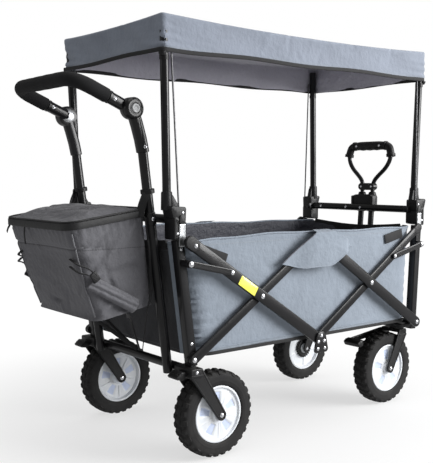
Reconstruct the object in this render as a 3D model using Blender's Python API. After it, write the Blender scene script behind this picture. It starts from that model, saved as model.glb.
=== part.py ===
"""Folding wagon with a pull handle, a push handle, a fabric tub, a canopy and a rear storage bag.

Metres. +X is the pull handle end, +Y the left side, +Z up, and the wheels stand on z = 0.
The side bars are two symmetric scissors, so every bar angle is a whole multiple of the first one's.
"""

import math

import bmesh
import bpy
from mathutils import Vector

GAP = 0.0003  # between two pieces that touch
RUN = 0.00007  # running clearance round a pin, on the radius

# Wheels
HALF_SPAN = 0.382  # from the middle rivets to a scissor pivot: the length along which both ends are placed
POST_TOP_Z = 0.500  # the top of the end posts, from which everything above them is placed

WHEEL_R = 0.100
WHEEL_W = 0.050
HUB_R = 0.066
BORE_R = 0.005
REAR_AXLE_X = -(HALF_SPAN - 0.069)
REAR_TRACK_Y = 0.213
CASTER_X = HALF_SPAN - 0.007
CASTER_Y = 0.165
CASTER_TRAIL = 0.043
FORK_GAP = 0.0026  # between a tyre's side and a fork leg
FORK_T = 0.0055

# Scissor sides
PIVOT_Z = 0.2335
BAR_RISE = 0.2515
OUTER_BAR_W = 0.028
INNER_BAR_W = 0.022
BAR_T = 0.009
PIN_R = 0.004
LINK_W = 0.015
LINK_T = 0.006
LINK_LENGTH = 0.118

# End frames
POST = 0.022
POST_Y = 0.212
REAR_POST_X = (-(HALF_SPAN - 0.008), -(HALF_SPAN + 0.029))  # at its foot and at its top
FRONT_POST_X = (HALF_SPAN + 0.014, HALF_SPAN + 0.032)
FRONT_POST_FOOT_Z = 0.2095
BRACKET_TOP_Z = POST_TOP_Z + 0.075
CROSSBAR_R = 0.010
UPPER_BAR_Z = POST_TOP_Z + 0.044
REAR_LOWER_BAR_Z = 0.205
FRONT_LOWER_BAR_Z = 0.2262

# Tub
TUB_FLOOR_Z = 0.2375
TUB_RIM_Z = POST_TOP_Z - 0.0025
TUB_HALF_W = 0.2225
CLOTH_T = 0.004
MAT_T = 0.006

# Canopy
CANOPY_X = (-(HALF_SPAN + 0.073), HALF_SPAN + 0.054)
CANOPY_HALF_W = 0.2195
CANOPY_Z = (POST_TOP_Z + 0.4015, POST_TOP_Z + 0.483)
CANOPY_POST_R = 0.0085

# Push handle
LEG_R = 0.011
LEG_Y = 0.150
LEG_FOOT = (-(HALF_SPAN + 0.012), 0.193)
LEG_TOP = (-(HALF_SPAN + 0.0725), POST_TOP_Z + 0.225)
TILT_HUB = (-(HALF_SPAN + 0.104), POST_TOP_Z + 0.284)
TILT_HUB_R = 0.024
PUSH_BAR_R = 0.0095
PUSH_END_X = TILT_HUB[0] - 0.135
PUSH_END_Z = TILT_HUB[1] + 0.058
FOAM_R = 0.016

# Pull handle
PULL_FOOT = (HALF_SPAN + 0.0415, FRONT_LOWER_BAR_Z)
PULL_TOP = (HALF_SPAN + 0.0685, UPPER_BAR_Z + 0.039)
PULL_TUBE_R = 0.0085
PULL_ROD_R = 0.0060
PULL_ROD_Y = 0.020
PULL_LOOP_HALF_W = 0.082
PULL_LOOP_Z = PULL_TOP[1] + 0.145
PULL_GRIP_R = 0.0145

# Storage bag
BAG_HALF_W = 0.155
BAG_TOP_Z = (POST_TOP_Z + 0.040, POST_TOP_Z + 0.066)  # at its rear and at its front
BAG_FLOOR_Z = BAG_TOP_Z[0] - 0.205
BAG_REAR_X = (-(HALF_SPAN + 0.193), -(HALF_SPAN + 0.264))  # at its floor and at its rim
BAG_LID_T = 0.010

# What follows from the sizes above
LAYER_1 = POST_Y + POST / 2 + 0.004
LAYER_2 = LAYER_1 + BAR_T + 0.001
LAYER_3 = LAYER_2 + BAR_T + 0.001
PULL_LEAN = (PULL_TOP[0] - PULL_FOOT[0]) / (PULL_TOP[1] - PULL_FOOT[1])
FRONT_MOST_X = PULL_FOOT[0] + (PULL_LOOP_Z - PULL_FOOT[1]) * PULL_LEAN + PULL_GRIP_R
X_SHIFT = -(FRONT_MOST_X + BAG_REAR_X[1]) / 2  # centres the whole length on X = 0

for old in list(bpy.data.objects):
    bpy.data.objects.remove(old, do_unlink=True)


def paint(name, colour, roughness=0.5, metallic=0.0):
    material = bpy.data.materials.new(name)
    material.use_nodes = True
    shader = material.node_tree.nodes["Principled BSDF"]
    shader.inputs["Base Color"].default_value = (*colour, 1.0)
    shader.inputs["Roughness"].default_value = roughness
    shader.inputs["Metallic"].default_value = metallic
    material.diffuse_color = (*colour, 1.0)
    return material


STEEL = paint("black_painted_steel", (0.018, 0.018, 0.020), 0.35, 0.6)
SILVER = paint("bright_steel", (0.62, 0.63, 0.66), 0.3, 1.0)
PLASTIC = paint("black_plastic", (0.022, 0.022, 0.023), 0.5)
RUBBER = paint("tyre_rubber", (0.020, 0.020, 0.021), 0.8)
HUB_WHITE = paint("white_hub_plastic", (0.80, 0.82, 0.90), 0.35)
FOAM = paint("handle_foam", (0.030, 0.030, 0.034), 0.9)
CLOTH = paint("slate_cloth", (0.23, 0.26, 0.31), 0.85)
BAG_CLOTH = paint("grey_bag_cloth", (0.20, 0.20, 0.22), 0.85)
CANOPY_CLOTH = paint("canopy_cloth", (0.13, 0.13, 0.16), 0.85)

# ---------------------------------------------------------------- raw solids: (points, faces)


def block(x, y, z):
    points = [(a, b, c) for a in x for b in y for c in z]
    faces = [(0, 1, 3, 2), (4, 6, 7, 5), (0, 4, 5, 1), (2, 3, 7, 6), (0, 2, 6, 4), (1, 5, 7, 3)]
    return points, faces


def slab(outline, y0, y1):
    """A flat plate: an outline of (x, z) points, from y0 to y1."""
    n = len(outline)
    points = [(x, y0, z) for x, z in outline] + [(x, y1, z) for x, z in outline]
    faces = [tuple(range(n)), tuple(range(2 * n - 1, n - 1, -1))]
    faces += [(i, n + i, n + (i + 1) % n, (i + 1) % n) for i in range(n)]
    return points, faces


def circle(centre, r, n=16, start=0.0):
    turn = [start + 2 * math.pi * i / n for i in range(n)]
    return [(centre[0] + r * math.cos(t), centre[1] + r * math.sin(t)) for t in turn]


def hull(points):
    """The convex outline round some (x, z) points."""
    points = sorted(set(points))

    def half(run):
        out = []
        for p in run:
            while len(out) > 1 and (
                (out[-1][0] - out[-2][0]) * (p[1] - out[-2][1])
                - (out[-1][1] - out[-2][1]) * (p[0] - out[-2][0])
            ) <= 1e-12:
                out.pop()
            out.append(p)
        return out[:-1]

    return half(points) + half(points[::-1])


def loft(rings, closed=False):
    """A skin through rings of equal length, closed round or capped at both ends."""
    n = len(rings[0])
    points = [p for ring in rings for p in ring]
    faces = []
    for k in range(len(rings) if closed else len(rings) - 1):
        a, b = k * n, (k + 1) % len(rings) * n
        faces += [(a + i, a + (i + 1) % n, b + (i + 1) % n, b + i) for i in range(n)]
    if not closed:
        faces += [tuple(range(n))[::-1], tuple((len(rings) - 1) * n + i for i in range(n))]
    return points, faces


def rings_along(path, r, n):
    """Circles of radius r square to a path, kept from twisting."""
    path = [Vector(p) for p in path]
    steps = [(b - a).normalized() for a, b in zip(path, path[1:])]
    ways = [steps[0]] + [(a + b).normalized() for a, b in zip(steps, steps[1:])] + [steps[-1]]
    side = ways[0].orthogonal().normalized()
    rings = []
    for p, way in zip(path, ways):
        side = (side - way * side.dot(way)).normalized()
        up = way.cross(side)
        turn = [2 * math.pi * i / n for i in range(n)]
        rings.append([tuple(p + r * (side * math.cos(t) + up * math.sin(t))) for t in turn])
    return rings


def tube(path, r, n=14):
    return loft(rings_along(path, r, n))


def sleeve(path, r, bore, n=16):
    """A hollow tube, open at both ends."""
    return loft(rings_along(path, r, n) + rings_along(path, bore, n)[::-1], closed=True)


def pin(x, z, y0, y1, r, n=16):
    return slab(circle((x, z), r, n), y0, y1)


def bore_r(pin_r, n=16):
    """The corner radius of a polygon hole whose flats clear a pin."""
    return (pin_r + RUN) / math.cos(math.pi / n)


def spin_y(profile, x, z, y, n):
    """A closed (radius, y) profile turned round an axle along Y, a corner at the bottom."""
    rings = []
    for i in range(n):
        t = 2 * math.pi * i / n - math.pi / 2
        rings.append([(x + r * math.cos(t), y + q, z + r * math.sin(t)) for r, q in profile])
    return loft(rings, closed=True)


def shell(outline, levels, t):
    """An open-topped vessel. outline(z, inset) gives its plan, and levels run from floor to rim."""
    outer = [outline(z, 0.0) for z in levels]
    inner = [outline(z, t) for z in [levels[0] + t, *levels[1:]]]
    rings = [[(x, y, z) for x, y, z in ring] for ring in outer + inner[::-1]]
    return loft(rings)


def bent(points, r, n=5):
    """A polyline of 3-D points with its inner corners rounded by quadratic curves."""
    points = [Vector(p) for p in points]
    out = [points[0]]
    for a, b, c in zip(points, points[1:], points[2:]):
        p = b + (a - b).normalized() * min(r, (a - b).length / 2.01)
        q = b + (c - b).normalized() * min(r, (c - b).length / 2.01)
        out += [p.lerp(b, i / n).lerp(b.lerp(q, i / n), i / n) for i in range(n + 1)]
    return [tuple(p) for p in [*out, points[-1]]]


# ---------------------------------------------------------------- objects

ROOT = bpy.data.objects.new("wagon_origin", None)
ROOT.location = (X_SHIFT, 0, 0)
bpy.context.scene.collection.objects.link(ROOT)


def axis(name, at):
    """An empty on a joint's axis."""
    empty = bpy.data.objects.new("axis_" + name, None)
    empty.parent = ROOT
    empty.location = at
    empty.empty_display_size = 0.02
    bpy.context.scene.collection.objects.link(empty)
    return empty


def raw_object(name, solid, parent):
    """A mesh object whose origin is its parent's."""
    at = parent.location if parent is not ROOT else Vector((0, 0, 0))
    mesh = bpy.data.meshes.new(name)
    mesh.from_pydata([tuple(Vector(p) - at) for p in solid[0]], [], solid[1])
    work = bmesh.new()
    work.from_mesh(mesh)
    bmesh.ops.remove_doubles(work, verts=work.verts, dist=1e-7)
    bmesh.ops.recalc_face_normals(work, faces=work.faces)
    if work.calc_volume(signed=True) < 0:
        bmesh.ops.reverse_faces(work, faces=work.faces)
    work.to_mesh(mesh)
    work.free()
    obj = bpy.data.objects.new(name, mesh)
    obj.parent = parent
    bpy.context.scene.collection.objects.link(obj)
    return obj


def add(name, material, solids, parent=ROOT, cuts=()):
    """One node: the union of its solids, less the cuts."""
    obj = raw_object(name, solids[0], parent)
    obj.data.materials.append(material)
    jobs = [("UNION", s) for s in solids[1:]] + [("DIFFERENCE", s) for s in cuts]
    for k, (kind, solid) in enumerate(jobs):
        helper = raw_object(f"cutter_{name}_{k}", solid, parent)
        helper.hide_render = True
        helper.display_type = "WIRE"
        modifier = obj.modifiers.new(kind.lower(), "BOOLEAN")
        modifier.operation = kind
        modifier.solver = "EXACT"
        modifier.object = helper
    return obj


def across(side, a, b):
    """A Y range given as distances from the middle, on one side, in rising order."""
    return tuple(sorted((side * a, side * b)))


SIDES = (("l", 1), ("r", -1))


def post_x(post, foot_z, z):
    return post[0] + (post[1] - post[0]) * (z - foot_z) / (POST_TOP_Z - foot_z)


def square_post(post, foot_z, side):
    rings = []
    for z in (foot_z, POST_TOP_Z):
        x = post_x(post, foot_z, z)
        y0, y1 = across(side, POST_Y - POST / 2, POST_Y + POST / 2)
        rings.append([(x - POST / 2, y0, z), (x + POST / 2, y0, z), (x + POST / 2, y1, z), (x - POST / 2, y1, z)])
    return loft(rings)


# ---------------------------------------------------------------- wheels and forks

CROWN_T = 0.010
CROWN_Z = WHEEL_R * 2 - 0.0035  # the underside of a caster's crown
CASTER_CROWN_TOP = CROWN_Z + CROWN_T
HALF_FORK = WHEEL_W / 2 + FORK_GAP + FORK_T
REAR_CROWN_X = (REAR_AXLE_X - 0.085, REAR_AXLE_X - 0.053)
REAR_CROWN_TOP = PIVOT_Z - 0.0170
AXLE_HEAD = 0.0025


def tyre(x, y):
    h = WHEEL_W / 2
    r = WHEEL_R
    side = [(HUB_R, 0.84), (HUB_R + 0.012, 0.98), (r - 0.008, 0.98), (r - 0.002, 0.72), (r, 0.30)]
    profile = [(q, -f * h) for q, f in side] + [(q, f * h) for q, f in side[::-1]]
    return spin_y(profile, x, r, y, 32)


def hub(x, y, side):
    h = WHEEL_W / 2
    b = bore_r(BORE_R)
    r = HUB_R - GAP
    back = [(b, -0.94), (b + 0.008, -0.94), (b + 0.013, -0.48), (r - 0.008, -0.48), (r - 0.004, -0.84)]
    front = [(r - 0.004, 0.84), (r - 0.007, 0.66), (b + 0.015, 0.74), (b + 0.008, 0.94), (b, 0.94)]
    rim = [(r, -0.84), (r, 0.84)]
    profile = [(q, side * f * h) for q, f in back + rim + front]
    return spin_y(profile, x, WHEEL_R, y, 24)


def fork(x_crown, crown_z, leg_top, x_axle, y, side):
    """Crown, two legs and the axle with its heads."""
    out = []
    crown = block(x_crown, (y - HALF_FORK + 0.0005, y + HALF_FORK - 0.0005), crown_z)
    for s in (-1, 1):
        y0, y1 = sorted((y + s * HALF_FORK, y + s * (HALF_FORK - FORK_T)))
        corners = [(x_crown[0], leg_top), (x_crown[1], leg_top), (x_crown[0], leg_top - 0.018),
                   (x_crown[1], leg_top - 0.018)]
        out.append(slab(hull(corners + circle((x_axle, WHEEL_R), 0.0125)), y0, y1))
    out.append(crown)
    out.append(pin(x_axle, WHEEL_R, y - HALF_FORK + 0.001, y + HALF_FORK - 0.001, BORE_R))
    head = HALF_FORK + AXLE_HEAD
    out.append(pin(x_axle, WHEEL_R, *sorted((y + side * head, y + side * (head - 0.004))), 0.007))
    return out


for tag, side in SIDES:
    y = side * REAR_TRACK_Y
    x0, x1 = REAR_CROWN_X
    add("rear_fork_" + tag, PLASTIC, fork((x0, x1), (REAR_CROWN_TOP - 0.0225, REAR_CROWN_TOP),
                                          REAR_CROWN_TOP - 0.0005, REAR_AXLE_X, y, side))
    spin = axis("rear_wheel_" + tag, (REAR_AXLE_X, y, WHEEL_R))
    add("rear_tyre_" + tag, RUBBER, [tyre(REAR_AXLE_X, y)], spin)
    add("rear_hub_" + tag, HUB_WHITE, [hub(REAR_AXLE_X, y, side)], spin)
    hinge = (x0 - GAP - 0.0055, REAR_CROWN_TOP - 0.013)
    pedal = hull(circle(hinge, 0.0055, 12) + [(x0 - 0.014, hinge[1] - 0.011), (x0 - 0.028, hinge[1] - 0.009),
                                              (x0 - 0.030, hinge[1] - 0.003), (x0 - 0.016, hinge[1] + 0.007)])
    add("rear_brake_" + tag, PLASTIC, [slab(pedal, *across(side, REAR_TRACK_Y - 0.018, REAR_TRACK_Y + 0.018))],
        axis("rear_brake_" + tag, (hinge[0], y, hinge[1])))

for tag, side in SIDES:
    y = side * CASTER_Y
    x_axle = CASTER_X - CASTER_TRAIL
    swivel = axis("caster_" + tag, (CASTER_X, y, CASTER_CROWN_TOP))
    stem_top = FRONT_LOWER_BAR_Z + 0.0025
    stem = tube([(CASTER_X, y, CROWN_Z + 0.004), (CASTER_X, y, stem_top)], 0.0075, 16)
    cap = tube([(CASTER_X, y, FRONT_LOWER_BAR_Z + GAP), (CASTER_X, y, stem_top + 0.0005)], 0.011, 16)
    add("caster_fork_" + tag, PLASTIC, fork((CASTER_X - 0.008, CASTER_X + 0.022), (CROWN_Z, CASTER_CROWN_TOP),
                                            CASTER_CROWN_TOP - 0.0005, x_axle, y, side) + [stem, cap], swivel)
    spin = axis("front_wheel_" + tag, (x_axle, y, WHEEL_R))
    add("front_tyre_" + tag, RUBBER, [tyre(x_axle, y)], spin)
    add("front_hub_" + tag, HUB_WHITE, [hub(x_axle, y, side)], spin)
    # The lever runs back along the inner leg, and its pad crosses behind the tyre.
    inner = CASTER_Y - HALF_FORK - GAP
    x_pad = (x_axle - WHEEL_R - 0.018, x_axle - WHEEL_R + 0.004)
    top = CASTER_CROWN_TOP - 0.003
    arm = slab([(CASTER_X - 0.004, top), (CASTER_X - 0.004, top - 0.018), (x_pad[1], top - 0.030),
                (x_pad[0] + 0.003, top - 0.026), (x_pad[0] + 0.003, top - 0.018), (x_pad[1], top - 0.012)],
               *across(side, inner, inner - 0.005))
    pad = slab([(x_pad[0], top - 0.022), (x_pad[0] + 0.005, top - 0.032), (x_pad[1] - 0.001, top - 0.029),
                (x_pad[1] - 0.001, top - 0.013), (x_pad[0] + 0.006, top - 0.015)],
               *across(side, inner - 0.0045, CASTER_Y + 0.016))
    add("caster_brake_" + tag, PLASTIC, [arm, pad],
        axis("caster_brake_" + tag, (CASTER_X - 0.012, side * inner, top - 0.010)))

# ---------------------------------------------------------------- end frames

LUG_R = 0.0115
BOSS_R = 0.010
HEAD_R = 0.0072
HEAD_T = 0.0022
POST_OUT = POST_Y + POST / 2
REAR_LINK_AT = (-(HALF_SPAN + 0.021), 0.4492)
FRONT_LINK_AT = (HALF_SPAN + 0.021, 0.4492)


def rivet(x, z, y0, y1, side):
    """A pin from y0 to y1 with a head that starts a gap beyond the layer it holds."""
    shank = pin(x, z, *across(side, y0, y1 + GAP + HEAD_T - 0.0005), PIN_R)
    head = pin(x, z, *across(side, y1 + GAP, y1 + GAP + HEAD_T), HEAD_R)
    return [shank, head]


REAR_FOOT_Z = REAR_CROWN_TOP + GAP

for tag, side in SIDES:
    solids = [square_post(REAR_POST_X, REAR_FOOT_Z, side)]
    lug_x = post_x(REAR_POST_X, REAR_FOOT_Z, PIVOT_Z)
    lug = hull(circle((-HALF_SPAN, PIVOT_Z), LUG_R) + circle((lug_x, PIVOT_Z + 0.004), LUG_R))
    solids.append(slab(lug, *across(side, POST_OUT - 0.004, LAYER_1 - GAP)))
    solids += rivet(-HALF_SPAN, PIVOT_Z, POST_OUT - 0.002, LAYER_1 + BAR_T, side)
    solids.append(pin(*REAR_LINK_AT, *across(side, POST_OUT - 0.004, LAYER_3 - GAP), 0.0085))
    solids += rivet(*REAR_LINK_AT, LAYER_1, LAYER_3 + LINK_T, side)
    add("rear_post_" + tag, STEEL, solids)

crown_in = REAR_TRACK_Y - HALF_FORK
leg_lean = (LEG_TOP[0] - LEG_FOOT[0]) / (LEG_TOP[1] - LEG_FOOT[1])
lower_x = LEG_FOOT[0] + leg_lean * (REAR_LOWER_BAR_Z - LEG_FOOT[1]) + LEG_R + CROSSBAR_R + 2 * GAP
add("rear_lower_crossbar", STEEL,
    [tube([(lower_x, -crown_in + GAP, REAR_LOWER_BAR_Z), (lower_x, crown_in - GAP, REAR_LOWER_BAR_Z)], CROSSBAR_R)])


def front_frame():
    solids = [square_post(FRONT_POST_X, FRONT_POST_FOOT_Z, s) for _, s in SIDES]
    bar_x = post_x(FRONT_POST_X, FRONT_POST_FOOT_Z, FRONT_LOWER_BAR_Z)
    solids.append(tube([(bar_x, -POST_Y, FRONT_LOWER_BAR_Z), (bar_x, POST_Y, FRONT_LOWER_BAR_Z)], 0.0088, 16))
    cuts = []
    plate_z = (FRONT_LOWER_BAR_Z - 0.010, FRONT_LOWER_BAR_Z)
    for _, side in SIDES:
        corner = (CASTER_X - 0.032, bar_x + 0.008)
        solids.append(block(corner, across(side, CASTER_Y - 0.030, POST_OUT - 0.001), plate_z))
        cuts.append(tube([(CASTER_X, side * CASTER_Y, plate_z[0] - 0.02),
                          (CASTER_X, side * CASTER_Y, plate_z[1] + 0.02)], bore_r(0.0075), 16))
        lug = hull(circle((HALF_SPAN, PIVOT_Z), LUG_R) + circle((bar_x, PIVOT_Z + 0.002), LUG_R))
        solids.append(slab(lug, *across(side, POST_OUT - 0.004, LAYER_1 - GAP)))
        solids.append(pin(HALF_SPAN, PIVOT_Z, *across(side, LAYER_1 - 0.002, LAYER_2 - GAP), BOSS_R))
        solids += rivet(HALF_SPAN, PIVOT_Z, LAYER_1, LAYER_2 + BAR_T, side)
        solids.append(pin(*FRONT_LINK_AT, *across(side, POST_OUT - 0.004, LAYER_2 - GAP), 0.0085))
        solids += rivet(*FRONT_LINK_AT, LAYER_1, LAYER_2 + LINK_T, side)
        # The two ears that hold the pull handle's foot, with its pin between them.
        ear = hull(circle(PULL_FOOT, 0.009) + circle((bar_x, FRONT_LOWER_BAR_Z), 0.0075))
        solids.append(slab(ear, *across(side, 0.0315, 0.0355)))
    solids.append(pin(*PULL_FOOT, -0.0330, 0.0330, 0.0035))
    return solids, cuts


frame_solids, frame_cuts = front_frame()
add("front_frame", STEEL, frame_solids, cuts=frame_cuts)


def bracket(x, side, way):
    """A moulded corner on the post's top, flared outwards under the canopy socket."""
    half, z0, z1 = POST / 2 + 0.0055, POST_TOP_Z + GAP, BRACKET_TOP_Z
    shape = [(-half, z0), (half, z0), (half, z1 - 0.022), (half + 0.0135, z1 - 0.010), (half + 0.0135, z1), (-half, z1)]
    return slab([(x + way * a, b) for a, b in shape], *across(side, BRACKET_IN_Y, POST_OUT + 0.003))


BRACKET_IN_Y = 0.1865
CANOPY_FOOT_Y = 0.2045
CANOPY_TOP_Y = CANOPY_HALF_W - 0.003 - CANOPY_POST_R - 0.0006

for end, post, foot_z, way in (("rear", REAR_POST_X, REAR_FOOT_Z, -1), ("front", FRONT_POST_X, FRONT_POST_FOOT_Z, 1)):
    x = post[1]
    foot_x = x + way * 0.012
    for tag, side in SIDES:
        y = side * CANOPY_FOOT_Y
        socket = tube([(foot_x, y, BRACKET_TOP_Z - 0.01), (foot_x, y, BRACKET_TOP_Z + 0.030)], 0.0122, 14)
        bore = tube([(foot_x, y, BRACKET_TOP_Z + 0.001), (foot_x, y, BRACKET_TOP_Z + 0.05)], CANOPY_POST_R + GAP, 14)
        add(f"{end}_bracket_{tag}", PLASTIC, [bracket(x, side, way), socket], cuts=[bore])
        top_x = CANOPY_X[0] + 0.0145 if way < 0 else CANOPY_X[1] - 0.0145
        path = [(foot_x, y, BRACKET_TOP_Z + 0.001 + GAP), (foot_x, y, BRACKET_TOP_Z + 0.040),
                (top_x, side * CANOPY_TOP_Y, CANOPY_Z[0] + 0.01), (top_x, side * CANOPY_TOP_Y, CANOPY_Z[1] - 0.017)]
        add(f"canopy_post_{end}_{tag}", STEEL, [tube(path, CANOPY_POST_R, 14)])
    reach = BRACKET_IN_Y - GAP
    add(f"{end}_upper_crossbar", STEEL, [tube([(x, -reach, UPPER_BAR_Z), (x, reach, UPPER_BAR_Z)], CROSSBAR_R)])

# ---------------------------------------------------------------- scissor bars, rivet plates, links

TOP_Z = PIVOT_Z + BAR_RISE
REACH = math.hypot(HALF_SPAN, BAR_RISE)
UNIT = (HALF_SPAN / REACH, BAR_RISE / REACH)


def stadium(a, b, width, n=12):
    """The outline of a flat bar with round ends, centres at a and b."""
    turn = math.atan2(b[1] - a[1], b[0] - a[0])
    out = []
    for centre, start in ((a, turn + math.pi / 2), (b, turn - math.pi / 2)):
        for i in range(n // 2 + 1):
            t = start + math.pi * i / (n // 2)
            out.append((centre[0] + width / 2 * math.cos(t), centre[1] + width / 2 * math.sin(t)))
    return out


def bar(name, a, b, width, layer, side, holes, pins, parent):
    y0, y1 = across(side, layer, layer + BAR_T)
    solids = [slab(stadium(a, b, width), y0, y1)]
    for x, z, reach in pins:
        solids += rivet(x, z, layer + BAR_T - 0.003, reach, side)
    cuts = [pin(x, z, *across(side, layer - 0.01, layer + BAR_T + 0.01), bore_r(PIN_R)) for x, z in holes]
    add(name, STEEL, solids, parent, cuts)


END = 0.019  # how far a bar without an end pivot runs past the crossing height
rear_low, rear_mid, mid_top = (-HALF_SPAN, PIVOT_Z), (-HALF_SPAN / 2, (PIVOT_Z + TOP_Z) / 2), (0.0, TOP_Z)
mid_low, front_mid, front_low = (0.0, PIVOT_Z), (HALF_SPAN / 2, (PIVOT_Z + TOP_Z) / 2), (HALF_SPAN, PIVOT_Z)
rear_end = (-HALF_SPAN - END * UNIT[0], TOP_Z + END * UNIT[1])
front_end = (HALF_SPAN + END * UNIT[0], TOP_Z + END * UNIT[1])
AXES = {
    "fold": axis("fold", (rear_low[0], 0, rear_low[1])),
    "fold_a": axis("fold_a", (rear_mid[0], 0, rear_mid[1])),
    "fold_c": axis("fold_c", (mid_top[0], 0, mid_top[1])),
    "fold_d": axis("fold_d", (front_mid[0], 0, front_mid[1])),
}
OVER_2 = LAYER_2 + BAR_T
for tag, side in SIDES:
    bar("bar_rear_rising_" + tag, rear_low, mid_top, INNER_BAR_W, LAYER_1, side, [rear_low],
        [(*rear_mid, OVER_2), (*mid_top, OVER_2)], AXES["fold"])
    bar("bar_rear_falling_" + tag, rear_end, mid_low, OUTER_BAR_W, LAYER_2, side, [rear_mid, mid_low],
        [], AXES["fold_a"])
    bar("bar_front_falling_" + tag, mid_top, front_low, OUTER_BAR_W, LAYER_2, side,
        [mid_top, front_mid, front_low], [], AXES["fold_c"])
    bar("bar_front_rising_" + tag, mid_low, front_end, INNER_BAR_W, LAYER_1, side, [],
        [(*front_mid, OVER_2)], AXES["fold_d"])
    # The plate sits outside the lower middle joint and carries its pin through both bars' layers.
    plate = hull(circle((0, PIVOT_Z + 0.003), 0.017) + circle((-0.015, PIVOT_Z - 0.024), 0.0085)
                 + circle((0.015, PIVOT_Z - 0.024), 0.0085))
    solids = [slab(plate, *across(side, OVER_2 + GAP, OVER_2 + 0.0043))]
    for x, z in ((0, 0.010), (-0.010, -0.004), (0.010, -0.004), (-0.012, -0.022), (0.012, -0.022)):
        solids.append(pin(x, PIVOT_Z + z, *across(side, OVER_2 + 0.003, OVER_2 + 0.006), 0.0042, 12))
    solids.append(pin(0, PIVOT_Z, *across(side, LAYER_1 + BAR_T + GAP, OVER_2 + 0.002), PIN_R))
    add("rivet_plate_" + tag, STEEL, solids, AXES["fold_d"])

link_a = axis("rear_link", (REAR_LINK_AT[0], 0, REAR_LINK_AT[1]))
link_b = axis("front_link", (FRONT_LINK_AT[0], 0, FRONT_LINK_AT[1]))
drop = math.radians(13)
for tag, side in SIDES:
    for end, at, layer, way, parent in (("rear", REAR_LINK_AT, LAYER_3, 1, link_a),
                                        ("front", FRONT_LINK_AT, LAYER_2, -1, link_b)):
        far = (at[0] + way * LINK_LENGTH * math.cos(drop), at[1] - LINK_LENGTH * math.sin(drop))
        solids = [slab(stadium(at, far, LINK_W), *across(side, layer, layer + LINK_T)),
                  pin(*far, *across(side, layer + 0.003, layer + LINK_T + HEAD_T), HEAD_R * 0.8)]
        hole = pin(*at, *across(side, layer - 0.01, layer + LINK_T + 0.01), bore_r(PIN_R))
        add(f"{end}_link_{tag}", STEEL, solids, parent, [hole])

# ---------------------------------------------------------------- tub and floor mat

NOTCH = [(0.0, -0.0520), (0.0055, -0.0305), (0.0120, -0.0220), (0.0220, -0.0115), (0.0340, -0.0035), (0.050, 0.0)]


def tub_plan(z, inset):
    """The tub's outline at one height. Its corners pass inside the posts and its sides swell out between them."""
    rear = max(post_x(REAR_POST_X, REAR_FOOT_Z, z), REAR_POST_X[1]) + 0.002
    front = post_x(FRONT_POST_X, FRONT_POST_FOOT_Z, z) - 0.0125
    plan = []
    for sy, sx, x_end in ((1, -1, rear), (1, 1, front), (-1, 1, front), (-1, -1, rear)):
        quarter = [(x_end - sx * (s + inset), sy * (TUB_HALF_W + w - inset)) for s, w in NOTCH]
        plan += quarter if sx * sy < 0 else quarter[::-1]
    return [(x, y, z) for x, y in plan]


tub_levels = [TUB_FLOOR_Z, TUB_FLOOR_Z + 0.35 * (TUB_RIM_Z - TUB_FLOOR_Z), TUB_RIM_Z]
add("tub_fabric", CLOTH, [shell(tub_plan, tub_levels, CLOTH_T)])
mat_z = TUB_FLOOR_Z + CLOTH_T + GAP
mat_x = (REAR_POST_X[0] + 0.020, FRONT_POST_X[0] - 0.024)
mat_y = TUB_HALF_W - CLOTH_T - 0.0115
mat_outline = [(mat_x[0], -mat_y + 0.03), (mat_x[0] + 0.03, -mat_y), (mat_x[1] - 0.03, -mat_y), (mat_x[1], -mat_y + 0.03)]
mat_outline += [(x, -y) for x, y in mat_outline[::-1]]
add("floor_mat", CANOPY_CLOTH, [loft([[(x, y, z) for x, y in mat_outline] for z in (mat_z, mat_z + MAT_T)])])

# ---------------------------------------------------------------- canopy


def canopy_plan(z, inset):
    """A rounded oblong that draws in a little over the shoulder of the roof."""
    shoulder = max(0.0, (z - (CANOPY_Z[1] - 0.012)) / 0.012) * 0.007
    r, n = 0.010, 4
    x0, x1 = CANOPY_X[0] + inset + shoulder, CANOPY_X[1] - inset - shoulder
    w = CANOPY_HALF_W - inset - shoulder
    plan = []
    for cx, cy, start in ((x1 - r, w - r, 0), (x0 + r, w - r, 90), (x0 + r, r - w, 180), (x1 - r, r - w, 270)):
        for i in range(n + 1):
            t = math.radians(start + 90 * i / n)
            plan.append((cx + r * math.cos(t), cy + r * math.sin(t), z))
    return plan


ROOF_T = 0.003
outer = [canopy_plan(z, 0.0) for z in (CANOPY_Z[0], CANOPY_Z[1] - 0.012, CANOPY_Z[1])]
inner = [[(x, y, z - ROOF_T) for x, y, z in canopy_plan(z, ROOF_T)] for z in (CANOPY_Z[1], CANOPY_Z[1] - 0.012)]
inner.append(canopy_plan(CANOPY_Z[0], ROOF_T))
add("canopy_fabric", CANOPY_CLOTH, [loft(inner + outer)])

# ---------------------------------------------------------------- push handle

HUB_IN = LEG_Y - 0.013
HUB_MID = LEG_Y + 0.001
HUB_OUT = LEG_Y + 0.016
for tag, side in SIDES:
    y = side * LEG_Y
    foot, top = LEG_FOOT, LEG_TOP
    path = bent([(foot[0], y, foot[1]), (top[0], y, top[1]), (TILT_HUB[0] + 0.004, y, TILT_HUB[1] - 0.006)], 0.05, 4)
    socket = pin(*TILT_HUB, *across(side, HUB_MID + GAP, HUB_OUT), TILT_HUB_R, 24)
    wedge = pin(*TILT_HUB, *across(side, HUB_IN - 0.01, HUB_MID + GAP), TILT_HUB_R + 0.0012, 24)
    recess = pin(*TILT_HUB, *across(side, HUB_OUT - 0.009, HUB_OUT + 0.01), 0.0125, 20)
    add("push_leg_" + tag, STEEL, [socket, tube(path, LEG_R, 14)], cuts=[wedge, recess])
    tilt_button = axis("tilt_button_" + tag, (TILT_HUB[0], y, TILT_HUB[1]))
    add("tilt_button_" + tag, SILVER,
        [pin(*TILT_HUB, *across(side, HUB_OUT - 0.0055, HUB_OUT + 0.0035), 0.0118, 20)], tilt_button)

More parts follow.
